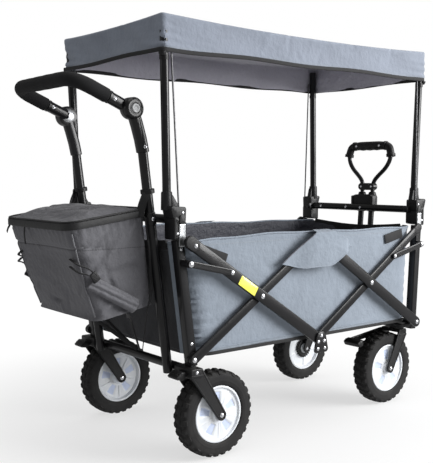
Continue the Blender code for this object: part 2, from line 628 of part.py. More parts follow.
tilt = axis("push_tilt", (TILT_HUB[0], 0, TILT_HUB[1]))
arm_y = HUB_MID - PUSH_BAR_R - 2 * GAP
bend = [(TILT_HUB[0], -arm_y, TILT_HUB[1]), (PUSH_END_X, -arm_y, PUSH_END_Z), (PUSH_END_X, arm_y, PUSH_END_Z),
        (TILT_HUB[0], arm_y, TILT_HUB[1])]
push_path = bent(bend, 0.045, 4)
discs = [pin(*TILT_HUB, *across(s, HUB_IN, HUB_MID), TILT_HUB_R, 24) for s in (1, -1)]
add("push_bar", STEEL, [tube(push_path, PUSH_BAR_R, 14)] + discs, tilt)
start = 0.42  # where along an arm the foam begins
grip_path = [p for p in push_path if p[0] < TILT_HUB[0] + start * (PUSH_END_X - TILT_HUB[0])]
edge = [(TILT_HUB[0] + start * (PUSH_END_X - TILT_HUB[0]), s * arm_y,
         TILT_HUB[1] + start * (PUSH_END_Z - TILT_HUB[1])) for s in (-1, 1)]
grip_path = [edge[0]] + grip_path + [edge[1]]
add("push_grip", FOAM, [sleeve(grip_path, FOAM_R, PUSH_BAR_R + GAP, 14)], tilt)

# ---------------------------------------------------------------- pull handle


def along_pull(y, z):
    """A point in the pull handle's plane, at one height."""
    return (PULL_FOOT[0] + (z - PULL_FOOT[1]) * PULL_LEAN, y, z)


pull = axis("pull_handle", (PULL_FOOT[0], 0, PULL_FOOT[1]))
rod_foot_z = 0.275
tubes = [sleeve([along_pull(s * PULL_ROD_Y, PULL_FOOT[1] + 0.012), along_pull(s * PULL_ROD_Y, UPPER_BAR_Z - 0.007)],
                PULL_TUBE_R, PULL_ROD_R + GAP, 16) for s in (1, -1)]
yoke_x = PULL_FOOT[0]
yoke = slab(hull(circle(PULL_FOOT, 0.0095) + [(yoke_x - 0.0085, PULL_FOOT[1] + 0.022),
                                              (yoke_x + 0.0105, PULL_FOOT[1] + 0.022)]), -0.031, 0.031)
add("pull_tubes", STEEL, [yoke] + tubes, pull, [pin(*PULL_FOOT, -0.05, 0.05, bore_r(0.0035))])
bores = [tube([along_pull(s * PULL_ROD_Y, UPPER_BAR_Z - 0.044), along_pull(s * PULL_ROD_Y, UPPER_BAR_Z + 0.106)], PULL_ROD_R + GAP, 16)
         for s in (1, -1)]
house_z = (UPPER_BAR_Z - 0.006 + GAP, PULL_TOP[1])
hx = along_pull(0, house_z[0])[0]
upper_front = FRONT_POST_X[1] + CROSSBAR_R + GAP
house = slab([(upper_front, house_z[0]), (hx + 0.0135, house_z[0]), (hx + 0.0185, house_z[0] + 0.006),
              (hx + 0.0185, house_z[1] - 0.006), (hx + 0.0145, house_z[1]),
              (upper_front + 0.002, house_z[1]), (upper_front, house_z[1] - 0.004)], -0.046, 0.046)
add("pull_housing", PLASTIC, [house], pull, bores)
slide = axis("pull_slide", along_pull(0, PULL_TOP[1]))
half = [(PULL_ROD_Y, rod_foot_z), (PULL_ROD_Y, PULL_TOP[1] + 0.029), (PULL_LOOP_HALF_W * 0.62, PULL_TOP[1] + 0.062),
        (PULL_LOOP_HALF_W, PULL_TOP[1] + 0.117), (PULL_LOOP_HALF_W * 0.93, PULL_LOOP_Z)]
loop = [along_pull(-y, z) for y, z in half] + [along_pull(y, z) for y, z in half[::-1]]
add("pull_loop", STEEL, [tube(bent(loop, 0.018, 3), PULL_ROD_R, 12)], slide)
grip_half = PULL_LOOP_HALF_W * 0.93 - 0.022
add("pull_grip", FOAM, [sleeve([along_pull(-grip_half, PULL_LOOP_Z), along_pull(grip_half, PULL_LOOP_Z)],
                               PULL_GRIP_R, PULL_ROD_R + GAP, 18)], slide)

# ---------------------------------------------------------------- storage bag


def bag_front_x(z):
    """The bag's front hangs from the push legs, a gap behind them at the rim."""
    x = LEG_FOOT[0] + (LEG_TOP[0] - LEG_FOOT[0]) * (BAG_TOP_Z[1] - LEG_FOOT[1]) / (LEG_TOP[1] - LEG_FOOT[1])
    rim = x - LEG_R * 1.012 - 2 * GAP
    return rim + 0.012 * (BAG_TOP_Z[1] - z) / (BAG_TOP_Z[1] - BAG_FLOOR_Z)


def bag_plan(level, inset, lift=0.0):
    """A rounded oblong, level 0 at the floor and 1 at the sloping rim."""
    front = bag_front_x(BAG_FLOOR_Z + level * (BAG_TOP_Z[1] - BAG_FLOOR_Z)) - inset
    rear = BAG_REAR_X[0] + level * (BAG_REAR_X[1] - BAG_REAR_X[0]) + inset
    w = BAG_HALF_W - 0.008 * (1 - level) - inset
    plan = []
    for cx, cy, r, turn in ((front, w, 0.018, 0), (rear, w, 0.030, 90), (rear, -w, 0.030, 180), (front, -w, 0.018, 270)):
        sx, sy = (1 if turn in (0, 270) else -1), (1 if turn < 180 else -1)
        for i in range(5):
            t = math.radians(turn + 90 * i / 4)
            x = cx - sx * r + r * math.cos(t)
            y = cy - sy * r + r * math.sin(t)
            share = (x - BAG_REAR_X[1]) / (bag_front_x(BAG_TOP_Z[1]) - BAG_REAR_X[1])
            rim_z = BAG_TOP_Z[0] + share * (BAG_TOP_Z[1] - BAG_TOP_Z[0])
            plan.append((x, y, BAG_FLOOR_Z + level * (rim_z - BAG_FLOOR_Z) + lift))
    return plan


BAG_T = 0.004
rings = [bag_plan(0, BAG_T, BAG_T), bag_plan(0.4, BAG_T), bag_plan(1, BAG_T)]
rings = rings + [bag_plan(1, 0), bag_plan(0.4, 0), bag_plan(0, 0)]
add("storage_bag", BAG_CLOTH, [loft(rings)])
lid_axis = axis("bag_lid", (bag_front_x(BAG_TOP_Z[1]), 0, BAG_TOP_Z[1] + GAP + BAG_LID_T))
lid = [bag_plan(1, 0.0, GAP), bag_plan(1, -0.0, GAP + 0.6 * BAG_LID_T), bag_plan(1, 0.005, GAP + BAG_LID_T)]
add("bag_lid", BAG_CLOTH, [loft(lid)], lid_axis)
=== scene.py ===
"""A folding wagon: four wheels on a scissor frame, a cloth tub, a canopy on four posts, a push handle
with a storage bag at the rear and a telescoping pull handle at the front. Metres; every place along
the wagon is measured from the two middle rivets, and +X is the front."""

import bmesh
import bpy
import numpy as np
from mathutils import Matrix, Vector


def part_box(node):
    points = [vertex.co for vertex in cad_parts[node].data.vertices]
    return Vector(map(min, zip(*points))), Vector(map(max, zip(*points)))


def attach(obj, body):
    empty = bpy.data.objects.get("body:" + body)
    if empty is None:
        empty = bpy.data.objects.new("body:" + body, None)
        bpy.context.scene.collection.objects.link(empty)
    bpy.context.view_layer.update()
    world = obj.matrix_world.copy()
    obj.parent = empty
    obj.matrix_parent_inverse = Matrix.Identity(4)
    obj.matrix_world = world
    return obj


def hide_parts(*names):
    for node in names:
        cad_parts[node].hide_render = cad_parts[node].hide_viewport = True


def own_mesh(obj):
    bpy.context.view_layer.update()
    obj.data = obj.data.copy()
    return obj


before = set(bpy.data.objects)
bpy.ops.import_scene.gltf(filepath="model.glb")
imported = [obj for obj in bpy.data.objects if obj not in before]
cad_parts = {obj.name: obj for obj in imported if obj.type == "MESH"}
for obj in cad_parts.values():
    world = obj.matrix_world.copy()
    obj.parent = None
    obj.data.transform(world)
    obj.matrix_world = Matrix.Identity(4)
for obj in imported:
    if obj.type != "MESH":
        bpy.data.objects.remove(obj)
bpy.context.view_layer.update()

# ---- Camera, floor and studio lights
# A pale floor under soft light from the right, a wide overhead panel and a weak grey surround.

scene = bpy.context.scene
scene.view_settings.view_transform = "Standard"

lens = bpy.data.cameras.new("camera")
lens.lens, lens.sensor_width = 62.2, 36.0
camera = bpy.data.objects.new("camera", lens)
camera.location = (-1.3368, -1.6259, 0.6409)
camera.rotation_euler = np.radians((90 - 4.04, 0.0, 51.63 - 90))
scene.collection.objects.link(camera)
scene.camera = camera


def softbox(name, place, aim, width, height, power):
    """A rectangular panel light that faces a point."""
    light = bpy.data.lights.new(name, "AREA")
    light.shape, light.size, light.size_y, light.energy = "RECTANGLE", width, height, power
    panel = bpy.data.objects.new(name, light)
    panel.location = place
    panel.rotation_euler = (Vector(aim) - Vector(place)).to_track_quat("-Z", "Y").to_euler()
    scene.collection.objects.link(panel)


softbox("key_panel", (2.5, -2.9, 1.55), (0.1, 0.0, 0.45), 2.4, 2.2, 215)
sun = bpy.data.lights.new("overhead_sun", "SUN")
sun.energy, sun.angle = 1.35, np.radians(70)
above = bpy.data.objects.new("overhead_sun", sun)
above.rotation_euler = np.radians((8.0, 6.0, 0.0))
scene.collection.objects.link(above)
softbox("rear_panel", (-3.2, 1.2, 1.5), (-0.2, 0.0, 0.6), 1.2, 1.6, 5)

surround = bpy.data.worlds.new("surround")
scene.world = surround
surround.use_nodes = True
tree = surround.node_tree
tree.nodes["Background"].inputs["Color"].default_value = (1.0, 1.0, 1.0, 1.0)
sky = tree.nodes["Background"]
path_kind = tree.nodes.new("ShaderNodeLightPath")
bright = tree.nodes.new("ShaderNodeMapRange")
bright.inputs["To Min"].default_value, bright.inputs["To Max"].default_value = 0.24, 1.0
tree.links.new(path_kind.outputs["Is Camera Ray"], bright.inputs["Value"])
tree.links.new(bright.outputs["Result"], sky.inputs["Strength"])

floor_mesh = bpy.data.meshes.new("floor")
floor_mesh.from_pydata([(-9, -9, 0), (9, -9, 0), (9, 9, 0), (-9, 9, 0)], [], [(0, 1, 2, 3)])
floor = bpy.data.objects.new("floor", floor_mesh)
scene.collection.objects.link(floor)
floor_paint = bpy.data.materials.new("pale_floor")
floor_paint.use_nodes = True
tree = floor_paint.node_tree
tree.nodes["Principled BSDF"].inputs["Base Color"].default_value = (0.82, 0.82, 0.82, 1)
tree.nodes["Principled BSDF"].inputs["Roughness"].default_value = 0.9
# The backdrop glows more with distance from the wagon, so that floor and surround meet in one white.
place, reach, share, glow, power, both, seen = (tree.nodes.new("ShaderNode" + kind) for kind in (
    "TexCoord", "VectorMath", "MapRange", "Emission", "MapRange", "MixShader", "LightPath"))
reach.operation, share.interpolation_type = "LENGTH", "SMOOTHSTEP"
share.inputs["From Min"].default_value, share.inputs["From Max"].default_value = 0.40, 1.25
share.inputs["To Min"].default_value, share.inputs["To Max"].default_value = 0.62, 1.0
power.inputs["To Min"].default_value, power.inputs["To Max"].default_value = 0.45, 1.02
tree.links.new(place.outputs["Object"], reach.inputs[0])
tree.links.new(reach.outputs["Value"], share.inputs["Value"])
tree.links.new(seen.outputs["Is Camera Ray"], power.inputs["Value"])
tree.links.new(power.outputs["Result"], glow.inputs["Strength"])
tree.links.new(share.outputs["Result"], both.inputs[0])
tree.links.new(tree.nodes["Principled BSDF"].outputs[0], both.inputs[1])
tree.links.new(glow.outputs[0], both.inputs[2])
tree.links.new(both.outputs[0], tree.nodes["Material Output"].inputs["Surface"])
floor_mesh.materials.append(floor_paint)

# ---- End posts and lower crossbars
# Square steel tube with rounded corners, powder coated satin black; lugs are welded on the outside
# for the scissor bars, and everything turns on bright domed rivets.

MIDDLE = (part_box("rivet_plate_l")[0][0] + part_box("rivet_plate_l")[1][0]) / 2
SIDES = (("l", 1), ("r", -1))


def wired(tree, kind, inputs=None, **settings):
    """One node; inputs holds plain values or (node, output) pairs."""
    made = tree.nodes.new("ShaderNode" + kind)
    for key, value in settings.items():
        setattr(made, key, value)
    for key, value in (inputs or {}).items():
        if isinstance(value, tuple) and len(value) == 2 and isinstance(value[0], bpy.types.Node):
            tree.links.new(value[0].outputs[value[1]], made.inputs[key])
        else:
            made.inputs[key].default_value = value
    return made


def new_group(name, inputs, outputs):
    """An empty shader node group with named sockets: (label, type, starting value)."""
    group = bpy.data.node_groups.new(name, "ShaderNodeTree")
    for label, kind, value in inputs:
        socket = group.interface.new_socket(label, in_out="INPUT", socket_type="NodeSocket" + kind)
        if value is not None:
            socket.default_value = value
    for label, kind in outputs:
        group.interface.new_socket(label, in_out="OUTPUT", socket_type="NodeSocket" + kind)
    return group, group.nodes.new("NodeGroupInput"), group.nodes.new("NodeGroupOutput")


# Mottle: slow uneven colour, as dye, dust and handling leave it, and on cloth also painted shade standing in for soft
# folds. Shade runs round 0.5, Fine is its small grain.
MOTTLE, inside, outside = new_group(
    "mottle", [("Vector", "Vector", None), ("Size", "Float", 0.08), ("Grain", "Float", 0.002)],
    [("Shade", "Float"), ("Fine", "Float")])
slow = wired(MOTTLE, "Math", {0: 1.0, 1: (inside, "Size")}, operation="DIVIDE")
fast = wired(MOTTLE, "Math", {0: 1.0, 1: (inside, "Grain")}, operation="DIVIDE")
broad = wired(MOTTLE, "TexNoise", {"Vector": (inside, "Vector"), "Scale": (slow, 0), "Detail": 4.0, "Distortion": 0.4})
small = wired(MOTTLE, "TexNoise", {"Vector": (inside, "Vector"), "Scale": (fast, 0), "Detail": 2.0})
MOTTLE.links.new(broad.outputs[0], outside.inputs["Shade"])
MOTTLE.links.new(small.outputs[0], outside.inputs["Fine"])

# Scuffs: thin short scratches and rubbed spots, 1 where the finish is worn.
SCUFFS, inside, outside = new_group("scuffs", [("Vector", "Vector", None), ("Amount", "Float", 0.3)],
                                    [("Worn", "Float")])
lean = wired(SCUFFS, "Mapping", {"Vector": (inside, "Vector"), "Rotation": (0.3, 0.6, 0.4),
                                 "Scale": (420.0, 60.0, 90.0)})
lines = wired(SCUFFS, "TexNoise", {"Vector": (lean, 0), "Scale": 1.0, "Detail": 3.0, "Roughness": 0.7})
patch = wired(SCUFFS, "TexNoise", {"Vector": (inside, "Vector"), "Scale": 16.0, "Detail": 3.0})
both = wired(SCUFFS, "Math", {0: (lines, 0), 1: (patch, 0)}, operation="MULTIPLY")
level = wired(SCUFFS, "MapRange", {"Value": (both, 0), "From Min": 0.36, "From Max": 0.48})
worn = wired(SCUFFS, "Math", {0: (level, 0), 1: (inside, "Amount")}, operation="MULTIPLY")
SCUFFS.links.new(worn.outputs[0], outside.inputs["Worn"])

# Dust: settles low down and on faces that look up, 1 where it lies.
DUST, inside, outside = new_group("dust", [("Vector", "Vector", None), ("Amount", "Float", 0.2)], [("Lies", "Float")])
height = wired(DUST, "SeparateXYZ", {0: (inside, "Vector")})
low = wired(DUST, "MapRange", {"Value": (height, "Z"), "From Min": 0.32, "From Max": 0.0})
facing = wired(DUST, "SeparateXYZ", {0: (wired(DUST, "NewGeometry"), "Normal")})
up = wired(DUST, "MapRange", {"Value": (facing, "Z"), "From Min": 0.2, "From Max": 1.0})
either = wired(DUST, "Math", {0: (low, 0), 1: (up, 0)}, operation="ADD")
cloud = wired(DUST, "TexNoise", {"Vector": (inside, "Vector"), "Scale": 38.0, "Detail": 5.0})
lies = wired(DUST, "Math", {0: (either, 0), 1: (cloud, 0)}, operation="MULTIPLY")
share = wired(DUST, "Math", {0: (lies, 0), 1: (inside, "Amount")}, operation="MULTIPLY")
DUST.links.new(share.outputs[0], outside.inputs["Lies"])


def placed(tree, group, inputs):
    """A shader group put into a material."""
    made = tree.nodes.new("ShaderNodeGroup")
    made.node_tree = group
    for key, value in inputs.items():
        if isinstance(value, tuple) and isinstance(value[0], bpy.types.Node):
            tree.links.new(value[0].outputs[value[1]], made.inputs[key])
        else:
            made.inputs[key].default_value = value
    return made


def hard_finish(name, colour, rough, metal=0.0, worn_to=None, worn=0.3, dust=0.12, grain=0.0008, bump=0.15, coat=0.0,
                gleam=0.5):
    """A paint, plastic, rubber or metal: mottled colour, scuffs that go paler and duller, dust low down, fine grain."""
    made = bpy.data.materials.new(name)
    made.use_nodes = True
    tree = made.node_tree
    shader = tree.nodes["Principled BSDF"]
    shader.inputs["Metallic"].default_value = metal
    shader.inputs["Coat Weight"].default_value = coat
    shader.inputs["Coat Roughness"].default_value = 0.12
    shader.inputs["Specular IOR Level"].default_value = gleam
    place = wired(tree, "TexCoord")
    mottle = placed(tree, MOTTLE, {"Vector": (place, "Object"), "Size": 0.03, "Grain": grain})
    scuffs = placed(tree, SCUFFS, {"Vector": (place, "Object"), "Amount": worn})
    dusty = placed(tree, DUST, {"Vector": (place, "Object"), "Amount": dust})
    dark = tuple(c * 0.82 for c in colour)
    light = tuple(min(1.0, c * 1.2) for c in colour)
    base = wired(tree, "Mix", {"Factor": (mottle, "Shade"), 6: (*dark, 1), 7: (*light, 1)}, data_type="RGBA")
    rubbed = wired(tree, "Mix", {"Factor": (scuffs, "Worn"), 6: (base, 2), 7: (*(worn_to or light), 1)},
                   data_type="RGBA")
    final = wired(tree, "Mix", {"Factor": (dusty, "Lies"), 6: (rubbed, 2), 7: (0.34, 0.32, 0.29, 1)}, data_type="RGBA")
    tree.links.new(final.outputs[2], shader.inputs["Base Color"])
    gloss = wired(tree, "MapRange", {"Value": (mottle, "Fine"), "To Min": rough * 0.85, "To Max": rough * 1.15})
    dull = wired(tree, "Math", {0: (scuffs, "Worn"), 1: 0.3, 2: (gloss, 0)}, operation="MULTIPLY_ADD")
    tree.links.new(dull.outputs[0], shader.inputs["Roughness"])
    skin = wired(tree, "Bump", {"Height": (mottle, "Fine"), "Strength": bump, "Distance": 0.0004})
    tree.links.new(skin.outputs[0], shader.inputs["Normal"])
    return made


BLACK_STEEL = hard_finish("black_painted_steel", (0.008, 0.008, 0.009), 0.30, 0.0, (0.040, 0.040, 0.042), 0.4, 0.03,
                          0.0016, 0.22, 0.30, 0.22)
BRIGHT = hard_finish("bright_rivet_steel", (0.74, 0.75, 0.78), 0.24, 1.0, (0.5, 0.5, 0.52), 0.3, 0.03, 0.0009, 0.1)


def outline_ring(r, n=20):
    """A circle of radius r, closed."""
    turn = np.linspace(0, 2 * np.pi, n + 1)
    return r * np.stack([np.cos(turn), np.sin(turn)], -1)


def outline_box(w, h, r, n=5):
    """A rounded oblong w by h with corner radius r: four quarter circles, closed."""
    turn = np.linspace(0, np.pi / 2, n)
    corners = [(w / 2 - r, h / 2 - r), (r - w / 2, h / 2 - r), (r - w / 2, r - h / 2), (w / 2 - r, r - h / 2)]
    arcs = [np.stack([cx + r * np.cos(turn + k * np.pi / 2), cy + r * np.sin(turn + k * np.pi / 2)], -1)
            for k, (cx, cy) in enumerate(corners)]
    return np.concatenate([*arcs, arcs[0][:1]])


def unit(v):
    """Each vector divided by its own length."""
    return v / np.maximum(np.linalg.norm(v, axis=-1, keepdims=True), 1e-12)


def rounded(points, r, n=7):
    """A broken line whose corners are eased by quadratic curves that start r before each corner."""
    p = [np.array(q, float) for q in points]
    s = np.linspace(0, 1, n)[:, None]
    out = [p[0][None]]
    for a, b, c in zip(p, p[1:], p[2:]):
        i = b + unit(a - b) * min(r, np.linalg.norm(a - b) / 2.01)
        o = b + unit(c - b) * min(r, np.linalg.norm(c - b) / 2.01)
        out.append((1 - s) ** 2 * i + 2 * s * (1 - s) * b + s**2 * o)
    return np.concatenate([*out, p[-1][None]])


def carried(path, outline, flat=(0, 1, 0), edge=0.0008, loop=False):
    """An outline carried along a path: point = path + a * up + b * side, where side is square to the path
    and to `flat`, and up is square to both. The ends are closed with a small round edge."""
    path, flat = np.asarray(path, float), np.asarray(flat, float)
    if loop:
        ahead = unit(np.roll(path, -1, 0) - np.roll(path, 1, 0))
        path, ahead = np.concatenate([path, path[:1]]), np.concatenate([ahead, ahead[:1]])
        size = np.ones(len(path))
    else:
        ahead = unit(np.gradient(path, axis=0))
        last = len(path) - 1
        pick = np.r_[0, 0, 0:last + 1, last, last]
        size = np.ones(len(pick))
        thin = 1 - edge / np.abs(outline).max()
        size[[0, -1]], size[[1, -2]] = 0.0, thin
        path, ahead = path[pick].copy(), ahead[pick]
        path[2] += ahead[2] * edge
        path[-3] -= ahead[-3] * edge
    side = unit(np.cross(ahead, flat))
    up = np.cross(side, ahead)
    a, b = (outline[None, :, k, None] * size[:, None, None] for k in (0, 1))
    return path[:, None] + a * up[:, None] + b * side[:, None]


def turned(profile, centre, way=(0, 1, 0), n=24):
    """A profile of (radius, height) spun about a line through centre along `way`."""
    way = unit(np.array(way, float))
    u = unit(np.cross(way, (0.31, 0.17, 0.93)))
    v = np.cross(way, u)
    turn = np.linspace(0, 2 * np.pi, n + 1)[:, None]
    round_ = np.cos(turn)[..., None] * u + np.sin(turn)[..., None] * v
    r, h = np.array(profile, float).T
    return np.array(centre, float) + r[None, :, None] * round_ + h[None, :, None] * way


def belt(*circles, n=72):
    """The outline of a tight belt round some circles (x, z, r): in each direction, the circle that reaches furthest."""
    c = np.array(circles, float)
    turn = np.linspace(0, 2 * np.pi, n + 1)
    way = np.stack([np.cos(turn), np.sin(turn)], -1)
    best = np.argmax(way @ c[:, :2].T + c[:, 2], axis=1)
    return c[best, :2] + c[best, 2:] * way


def shrunk(outline, by):
    """An outline drawn in by a distance along its corner normals."""
    core = outline[:-1]
    step = np.roll(core, -1, 0) - np.roll(core, 1, 0)
    inward = unit(np.stack([-step[:, 1], step[:, 0]], -1))
    area = np.sum(core[:, 0] * np.roll(core[:, 1], -1) - core[:, 1] * np.roll(core[:, 0], -1))
    moved = core + inward * by * (1 if area > 0 else -1)
    return np.concatenate([moved, moved[:1]])


def plate(outline, y0, y1, edge=0.0008, sunk=None, steps=3):
    """A flat plate of an (x, z) outline between y0 and y1 with quarter-round edges. sunk = (rim, depth)
    presses the y1 face in, inside a rim."""
    turn = np.linspace(0, np.pi / 2, steps)
    sign = np.sign(y1 - y0)
    mid = outline[:-1].mean(0)
    rings = [(np.broadcast_to(mid, outline.shape), y0)]
    rings += [(shrunk(outline, edge * (1 - np.sin(t))), y0 + sign * edge * (1 - np.cos(t))) for t in turn]
    rings += [(shrunk(outline, edge * (1 - np.sin(t))), y1 - sign * edge * (1 - np.cos(t))) for t in turn[::-1]]
    if sunk:
        rings += [(shrunk(outline, sunk[0]), y1), (shrunk(outline, sunk[0] + sunk[1]), y1 - sign * sunk[1])]
        rings += [(np.broadcast_to(mid, outline.shape), y1 - sign * sunk[1])]
    else:
        rings += [(np.broadcast_to(mid, outline.shape), y1)]
    return np.stack([np.insert(ring, 1, y, axis=1) for ring, y in rings])


def rivet(x, z, face, side, r=0.0062, h=0.0024):
    """A domed rivet head on a face at |y| = face: a flattened half round with a short foot."""
    turn = np.linspace(np.pi / 2, 0, 6)
    dome = [(r * np.cos(t), h * np.sin(t)) for t in turn]
    return turned(dome + [(r, -0.0008), (0, -0.0008)], (x, side * face, z), (0, side, 0), 20)


def build(name, skins, finishes, body, stands_for=(), closed=True, sharp=38):
    """One piece from grids of points, in wagon places. Each grid is rows by columns, or (grid, finish number, cut places);
    each cell becomes a face, and points that meet are merged."""
    points, quads, which, cut = [], [], [], []
    start, has_cut = 0, False
    for skin in skins:
        grid, number, places = (*skin, None)[:3] if isinstance(skin, tuple) else (skin, 0, None)
        rows, cols = grid.shape[:2]
        index = start + np.arange(rows * cols).reshape(rows, cols)
        quads.append(np.stack([index[:-1, :-1], index[1:, :-1], index[1:, 1:], index[:-1, 1:]], -1).reshape(-1, 4))
        which.append(np.zeros(len(quads[-1]), int) + number)
        points.append(grid.reshape(-1, 3) + (MIDDLE, 0, 0))
        has_cut |= places is not None
        cut.append(np.zeros((rows * cols, 2)) if places is None else np.broadcast_to(places,
            (rows, cols, 2)).reshape(-1, 2))
        start += rows * cols
    points, quads, which, cut = (np.concatenate(part) for part in (points, quads, which, cut))
    mesh = bpy.data.meshes.new(name)
    mesh.vertices.add(len(points))
    mesh.vertices.foreach_set("co", points.ravel())
    mesh.loops.add(quads.size)
    mesh.loops.foreach_set("vertex_index", quads.ravel().astype(np.int32))
    mesh.polygons.add(len(quads))
    mesh.polygons.foreach_set("loop_start", np.arange(0, quads.size, 4, dtype=np.int32))
    mesh.polygons.foreach_set("material_index", which.astype(np.int32))
    mesh.update(calc_edges=True)
    if has_cut:
        mesh.uv_layers.new(name="cut").data.foreach_set("uv", cut[quads.ravel()].ravel())
    work = bmesh.new()
    work.from_mesh(mesh)
    bmesh.ops.remove_doubles(work, verts=work.verts, dist=2e-6)
    bmesh.ops.dissolve_degenerate(work, edges=work.edges, dist=1e-7)
    if closed:
        bmesh.ops.recalc_face_normals(work, faces=work.faces)
    work.to_mesh(mesh)
    work.free()
    mesh.shade_smooth()
    mesh.set_sharp_from_angle(angle=np.radians(sharp))
    for finish in finishes:
        mesh.materials.append(finish)
    piece = bpy.data.objects.new(name, mesh)
    scene.collection.objects.link(piece)
    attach(piece, body)
    if stands_for:
        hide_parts(*stands_for)
    return piece


POST_Y, POST_TOP = 0.212, 0.500
REAR_FOOT, FRONT_FOOT = (-0.374, 0.2168), (0.396, 0.2095)
REAR_TOP_X, FRONT_TOP_X = -0.411, 0.414
LAYER = (0.227, 0.237, 0.247)  # how far out the inner bars, the outer bars and the rear links start
PIVOT = (0.382, 0.2335)
LINK_AT = (0.403, 0.4492)


def spot(a, b, share):
    """The point a share of the way from a to b."""
    return tuple(np.array(a, float) + (np.array(b, float) - np.array(a, float)) * share)


def cheek(x, z, side, y0, y1, r):
    """A round boss between two distances from the middle."""
    return turned([(0, 0), (r - 0.0006, 0), (r, 0.0006), (r, y1 - y0 - 0.0006), (r - 0.0006, y1 - y0), (0, y1 - y0)],
                  (x, side * y0, z), (0, side, 0), 24)


square = outline_box(0.022, 0.022, 0.0032)
for tag, side in SIDES:
    y = side * POST_Y
    skins = [carried([(REAR_FOOT[0], y, REAR_FOOT[1]), (REAR_TOP_X, y, POST_TOP)], square)]
    skins.append(plate(belt((-PIVOT[0], PIVOT[1], 0.0115), (-0.376, 0.2375, 0.0115)), side * 0.219, side * 0.2266))
    skins.append(cheek(-LINK_AT[0], LINK_AT[1], side, 0.219, 0.2466, 0.0083))
    build("rear_post_steel_" + tag, skins, [BLACK_STEEL], "rear_end", ["rear_post_" + tag])
    heads = [rivet(-PIVOT[0], PIVOT[1], 0.2362, side), rivet(-LINK_AT[0], LINK_AT[1], 0.2532, side, 0.0068)]
    heads += [rivet(spot(REAR_FOOT, (REAR_TOP_X, POST_TOP), s)[0], spot(REAR_FOOT, (REAR_TOP_X, POST_TOP), s)[1],
                    0.223, side, 0.004, 0.0014) for s in (0.18, 0.93)]
    build("rear_post_rivets_" + tag, heads, [BRIGHT], "rear_end")
half = 0.213 - 0.0334
bar_x = (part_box("rear_lower_crossbar")[0][0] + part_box("rear_lower_crossbar")[1][0]) / 2 - MIDDLE
build("rear_lower_crossbar_tube",
      [carried([(bar_x, -half, 0.205), (bar_x, half, 0.205)], outline_ring(0.010, 28), (1, 0, 0))],
      [BLACK_STEEL], "rear_end", ["rear_lower_crossbar"])

front_bar_x = 0.397
skins, heads = [], []
for tag, side in SIDES:
    y = side * POST_Y
    skins.append(carried([(FRONT_FOOT[0], y, FRONT_FOOT[1]), (FRONT_TOP_X, y, POST_TOP)], square))
    skins.append(plate(belt((PIVOT[0], PIVOT[1], 0.0115), (front_bar_x, 0.2282, 0.0115)), side * 0.219, side * 0.2266))
    skins.append(cheek(PIVOT[0], PIVOT[1], side, 0.2255, 0.2366, 0.0098))
    skins.append(cheek(LINK_AT[0], LINK_AT[1], side, 0.219, 0.2366, 0.0083))
    ear = belt((0.4235, 0.2262, 0.009), (front_bar_x, 0.2262, 0.0075))
    skins.append(plate(ear, side * 0.0315, side * 0.0355))
    # The caster's steel plate, with a raised collar round its stem.
    corner = outline_box(0.062, 0.087, 0.006)
    flat = np.stack([corner[:, 0] + 0.374, corner[:, 1] + side * 0.1785], -1)
    under, over = 0.2163, 0.2261
    layers = [(0.0, under), (0.0, under), (0.0008, under + 0.0008), (0.0008, over - 0.0008), (0.0, over), (0.0, over)]
    core = flat[:-1].mean(0)
    rings = [np.broadcast_to(core, flat.shape)] + [core + (flat - core) * (0.97 + g * 37) for g, _ in layers[1:-1]]
    rings.append(np.broadcast_to(core, flat.shape))
    skins.append(np.stack([np.insert(ring, 2, h, axis=1) for ring, (_, h) in zip(rings, layers)]))
    heads += [rivet(PIVOT[0], PIVOT[1], 0.2462, side), rivet(LINK_AT[0], LINK_AT[1], 0.2432, side, 0.0068)]
    heads += [rivet(0.4235, 0.2262, 0.0355, side, 0.005, 0.0016), rivet(0.3985, 0.245, 0.223, side, 0.0045, 0.0016)]
    heads += [turned([(0, 0.0022), (0.003, 0.0018), (0.0042, 0), (0, 0)], (x, side * 0.2085, 0.2163), (0, 0, -1), 14)
              for x in (0.354, 0.392)]
skins.append(carried([(front_bar_x, -POST_Y, 0.2262), (front_bar_x, POST_Y, 0.2262)], outline_ring(0.0088, 28),
                     (1, 0, 0)))
skins.append(turned([(0, -0.0325), (0.0034, -0.0325), (0.0034, 0.0325), (0, 0.0325)], (0.4235, 0, 0.2262)))
build("front_frame_steel", skins, [BLACK_STEEL], "front_end", ["front_frame"])
build("front_frame_rivets", heads, [BRIGHT], "front_end")

# ---- Wheels
# A moulded tyre with knobbly shoulder blocks and a zigzag of centre blocks, on a white plastic hub with five
# sunk windows; each turns on a bolt, and a black toothed brake ring is clipped to the hub's inner face.

TYRE_RUBBER = hard_finish("tyre_rubber", (0.010, 0.010, 0.011), 0.70, 0.0, (0.030, 0.029, 0.028), 0.5, 0.07, 0.0012,
                          0.5, 0.0, 0.25)
HUB_WHITE = hard_finish("white_hub_plastic", (0.80, 0.83, 0.92), 0.36, 0.0, (0.62, 0.62, 0.64), 0.25, 0.10, 0.0012,
                        0.12)
# The windows' finish is a darker, bluer copy of the white plastic: painted shade for the sunk recesses.
HUB_WINDOW_PAINTED_SHADE = hard_finish("hub_window_painted_shade", (0.60, 0.68, 0.93), 0.4, 0.0, (0.5, 0.55, 0.7), 0.25, 0.08, 0.0012, 0.12)
BLACK_PLASTIC = hard_finish("black_moulded_plastic", (0.009, 0.009, 0.010), 0.42, 0.0, (0.030, 0.030, 0.031), 0.4,
                            0.04, 0.0009, 0.5, 0.0, 0.3)
WHEEL_R, KNOBS = 0.100, 30
REAR_TRACK, CASTER_TRACK = 0.213, 0.165  # half the width between the middles of a pair of wheels
REAR_AXLE, CASTER_AXLE = 0.313, 0.332  # how far behind and before the middle rivets the axles lie


def soft_step(x, a, b):
    """0 below a, 1 above b, eased between."""
    t = np.clip((x - a) / (b - a), 0, 1)
    return t * t * (3 - 2 * t)


